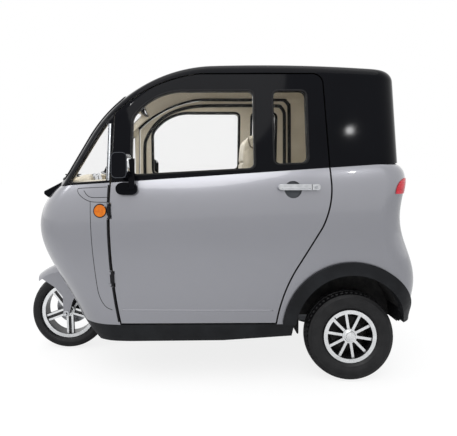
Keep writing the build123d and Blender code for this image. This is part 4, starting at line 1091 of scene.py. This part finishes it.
def seam(measure, places, facing, bound=aside, most=FAR):
    """sewn lines at set places of a measure, on faces that look one way, where bound stays under most"""
    def distance(spot, normal):
        if normal[facing] > LEAN and bound(spot) < most:
            return min(abs(measure(spot) - place) for place in places)
        return FAR
    return distance


# Cushion: node, shrink, voxel, foot, seams
COVERS = [
    ("seat_cushion", (0.026, 0.026, 0.020), 0.006, 0.600, [
        seam(aside, [0.145], TOP),
        seam(along_of, [-0.09, -0.02, 0.05, 0.12], TOP, aside, 0.145),
    ]),
    ("seat_back", (0.020, 0.026, 0.020), 0.008, 0.600, [
        seam(aside, [0.140], FRONT, up_of, 1.15),
        seam(up_of, [0.78, 0.87, 0.96, 1.05, 1.15], FRONT, aside, 0.140),
    ]),
    ("bench_cushion", (0.024, 0.026, 0.020), 0.009, 0.612, [seam(aside, [0.0, 0.14, 0.28], TOP)]),
    ("bench_back", (0.020, 0.026, 0.020), 0.009, 0.612, [seam(aside, [0.0, 0.14, 0.28], FRONT, up_of, 1.06)]),
]
covers = {}
for node, shrink, voxel, foot, seams in COVERS:
    made = soft_copy(node, shrink, voxel)
    blow(made, foot)
    smooth_cover = made.modifiers.new("smooth", "SUBSURF")
    smooth_cover.levels = 1
    settle(made)
    sew(made, seams)
    mesh = made.data
    mesh.materials.clear()
    mesh.materials.append(FINISH["cream_leather"])
    for face in mesh.polygons:
        face.use_smooth = True
    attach(made, "chassis")
    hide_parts(node)
    spots = [vertex.co.copy() for vertex in mesh.vertices]
    covers[node] = BVHTree.FromPolygons(spots, [face.vertices[:] for face in mesh.polygons])

# Piping laid on the covers
PIPING_R = 0.0042
PIPING_STEPS = 220
SEAT_EDGE = [(-0.188, 0.66), (0.188, 0.66), (0.188, 1.318), (-0.188, 1.318)]
BENCH_EDGE = [(-0.392, 0.74), (0.392, 0.74), (0.392, 1.100), (-0.392, 1.100)]


def piping(name, node, rays):
    """cord of piping through the points where rays meet a cushion's cover"""
    found = [covers[node].ray_cast(start, way)[:2] for start, way in rays]
    path = [(hit, normal) for hit, normal in found if hit]
    bead(name, path, round_profile(PIPING_R), True, "chassis", SEAT_CORD)


def level_rays(node, level):
    """rays from all round towards a cushion's middle, at one level"""
    low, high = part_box(node)
    middle = (low + high) / 2
    rays = []
    for index in range(PIPING_STEPS):
        turn = 2 * math.pi * index / PIPING_STEPS
        away = Vector((math.cos(turn) * (high.x - low.x), math.sin(turn) * (high.y - low.y), 0))
        rays.append((Vector((middle.x, middle.y, level)) + away, -away.normalized()))
    return rays


def front_rays(outline, from_x):
    """rays from ahead towards a back cushion, along an end-view outline"""
    around = dense(round_outline(outline, 0.05), True)
    return [(Vector((from_x, y, z)), Vector((-1, 0, 0))) for y, z in around]


piping("seat_piping", "seat_cushion", level_rays("seat_cushion", 0.662))
piping("bench_piping", "bench_cushion", level_rays("bench_cushion", 0.672))
piping("seat_back_piping", "seat_back", front_rays(SEAT_EDGE, 0.3))
piping("bench_back_piping", "bench_back", front_rays(BENCH_EDGE, -0.3))

# Camera
camera = bpy.data.objects.new("camera", bpy.data.cameras.new("camera"))
scene.collection.objects.link(camera)
camera.location = (0.037, 2.65, 1.105)
camera.rotation_euler = (math.pi / 2, 0, math.pi)
camera.data.lens = 33.09
camera.data.shift_x = 0.058
camera.data.shift_y = -0.105
scene.camera = camera
scene.view_settings.view_transform = "Standard"

# World: pale light on the car, white where it is seen directly, in a reflection or through glass
SKY_STRENGTH = 0.55
SKY_COLOUR = (0.97, 0.985, 1.0, 1)
WHITE = (1, 1, 1, 1)
world = bpy.data.worlds.new("studio")
scene.world = world
world.use_nodes = True
world_nodes = world.node_tree.nodes
world_links = world.node_tree.links
sky = world_nodes["Background"]
sky.inputs["Color"].default_value = SKY_COLOUR
sky.inputs["Strength"].default_value = SKY_STRENGTH
seen = world_nodes.new("ShaderNodeBackground")
seen.inputs["Color"].default_value = WHITE
ray_kind = world_nodes.new("ShaderNodeLightPath")
either, any_kind = (world_nodes.new("ShaderNodeMath") for _ in range(2))
either.operation = any_kind.operation = "MAXIMUM"
world_links.new(ray_kind.outputs["Is Camera Ray"], either.inputs[0])
world_links.new(ray_kind.outputs["Is Transmission Ray"], either.inputs[1])
world_links.new(either.outputs[0], any_kind.inputs[0])
world_links.new(ray_kind.outputs["Is Glossy Ray"], any_kind.inputs[1])
sky_sources = (any_kind.outputs[0], sky.outputs["Background"], seen.outputs["Background"])
mixed(world_nodes, world_links, sky_sources, world_nodes["World Output"])

# Floor, lifted towards white where the camera sees it
FLOOR_HALF = 30
FLOOR_GLOW, FLOOR_SHARE = 1.15, 0.72
FLOOR_DARK, FLOOR_LIGHT = (0.69,) * 3, (0.71,) * 3
corners = [(x * FLOOR_HALF, y * FLOOR_HALF, 0) for x, y in ((-1, -1), (1, -1), (1, 1), (-1, 1))]
floor_mesh = mesh_of("floor", corners, [[0, 1, 2, 3]])
floor = bpy.data.objects.new("floor", floor_mesh)
scene.collection.objects.link(floor)
floor_finish, floor_nodes, floor_links, floor_shader = blank("pale_floor")
floor_patches = noise(floor_nodes, floor_links, 0.6)
shade(floor_nodes, floor_links, floor_patches, FLOOR_DARK, FLOOR_LIGHT, floor_shader.inputs["Base Color"])
floor_shader.inputs["Roughness"].default_value = 0.9
floor_shader.inputs["Specular IOR Level"].default_value = 0.0
glow = floor_nodes.new("ShaderNodeEmission")
glow.inputs["Strength"].default_value = FLOOR_GLOW
floor_ray = floor_nodes.new("ShaderNodeLightPath")
floor_share = floor_nodes.new("ShaderNodeMath")
floor_share.operation = "MULTIPLY"
floor_share.inputs[1].default_value = FLOOR_SHARE
floor_links.new(floor_ray.outputs["Is Camera Ray"], floor_share.inputs[0])
floor_sources = (floor_share.outputs[0], floor_shader.outputs["BSDF"], glow.outputs["Emission"])
mixed(floor_nodes, floor_links, floor_sources, floor_nodes["Material Output"])
floor_mesh.materials.append(floor_finish)

# Lamp: kind, place, aim, strength, size in metres or angle in radians
LAMPS = [
    ("SUN", (0, 0, 6), (0.3, -0.8, 0), 1.35, 1.2),
    ("AREA", (0.2, 3.4, 3.2), (0, 0.3, 1.0), 42, 2.4),
    ("AREA", (2.8, 1.4, 2.6), (0.3, 0, 0.9), 26, 1.6),
    ("AREA", (0.0, 0.0, 1.57), (0.0, 0.0, 0.5), 2.5, 0.5),
    ("AREA", (1.3, 2.9, 3.0), (0.1, 0.4, 1.3), 3, 0.08),
    ("AREA", (-1.5, 2.7, 2.2), (-0.7, 0.4, 1.2), 2, 0.07),
]
for index, (kind, spot, aim, strength, size) in enumerate(LAMPS):
    light = bpy.data.lights.new(f"lamp_{index}", kind)
    light.energy = strength
    if kind == "AREA":
        light.shape = "DISK"
        light.size = size
    else:
        light.angle = size
    lamp = bpy.data.objects.new(f"lamp_{index}", light)
    scene.collection.objects.link(lamp)
    lamp.visible_camera = False
    lamp.location = spot
    lamp.rotation_euler = (Vector(aim) - Vector(spot)).to_track_quat("-Z", "Y").to_euler()
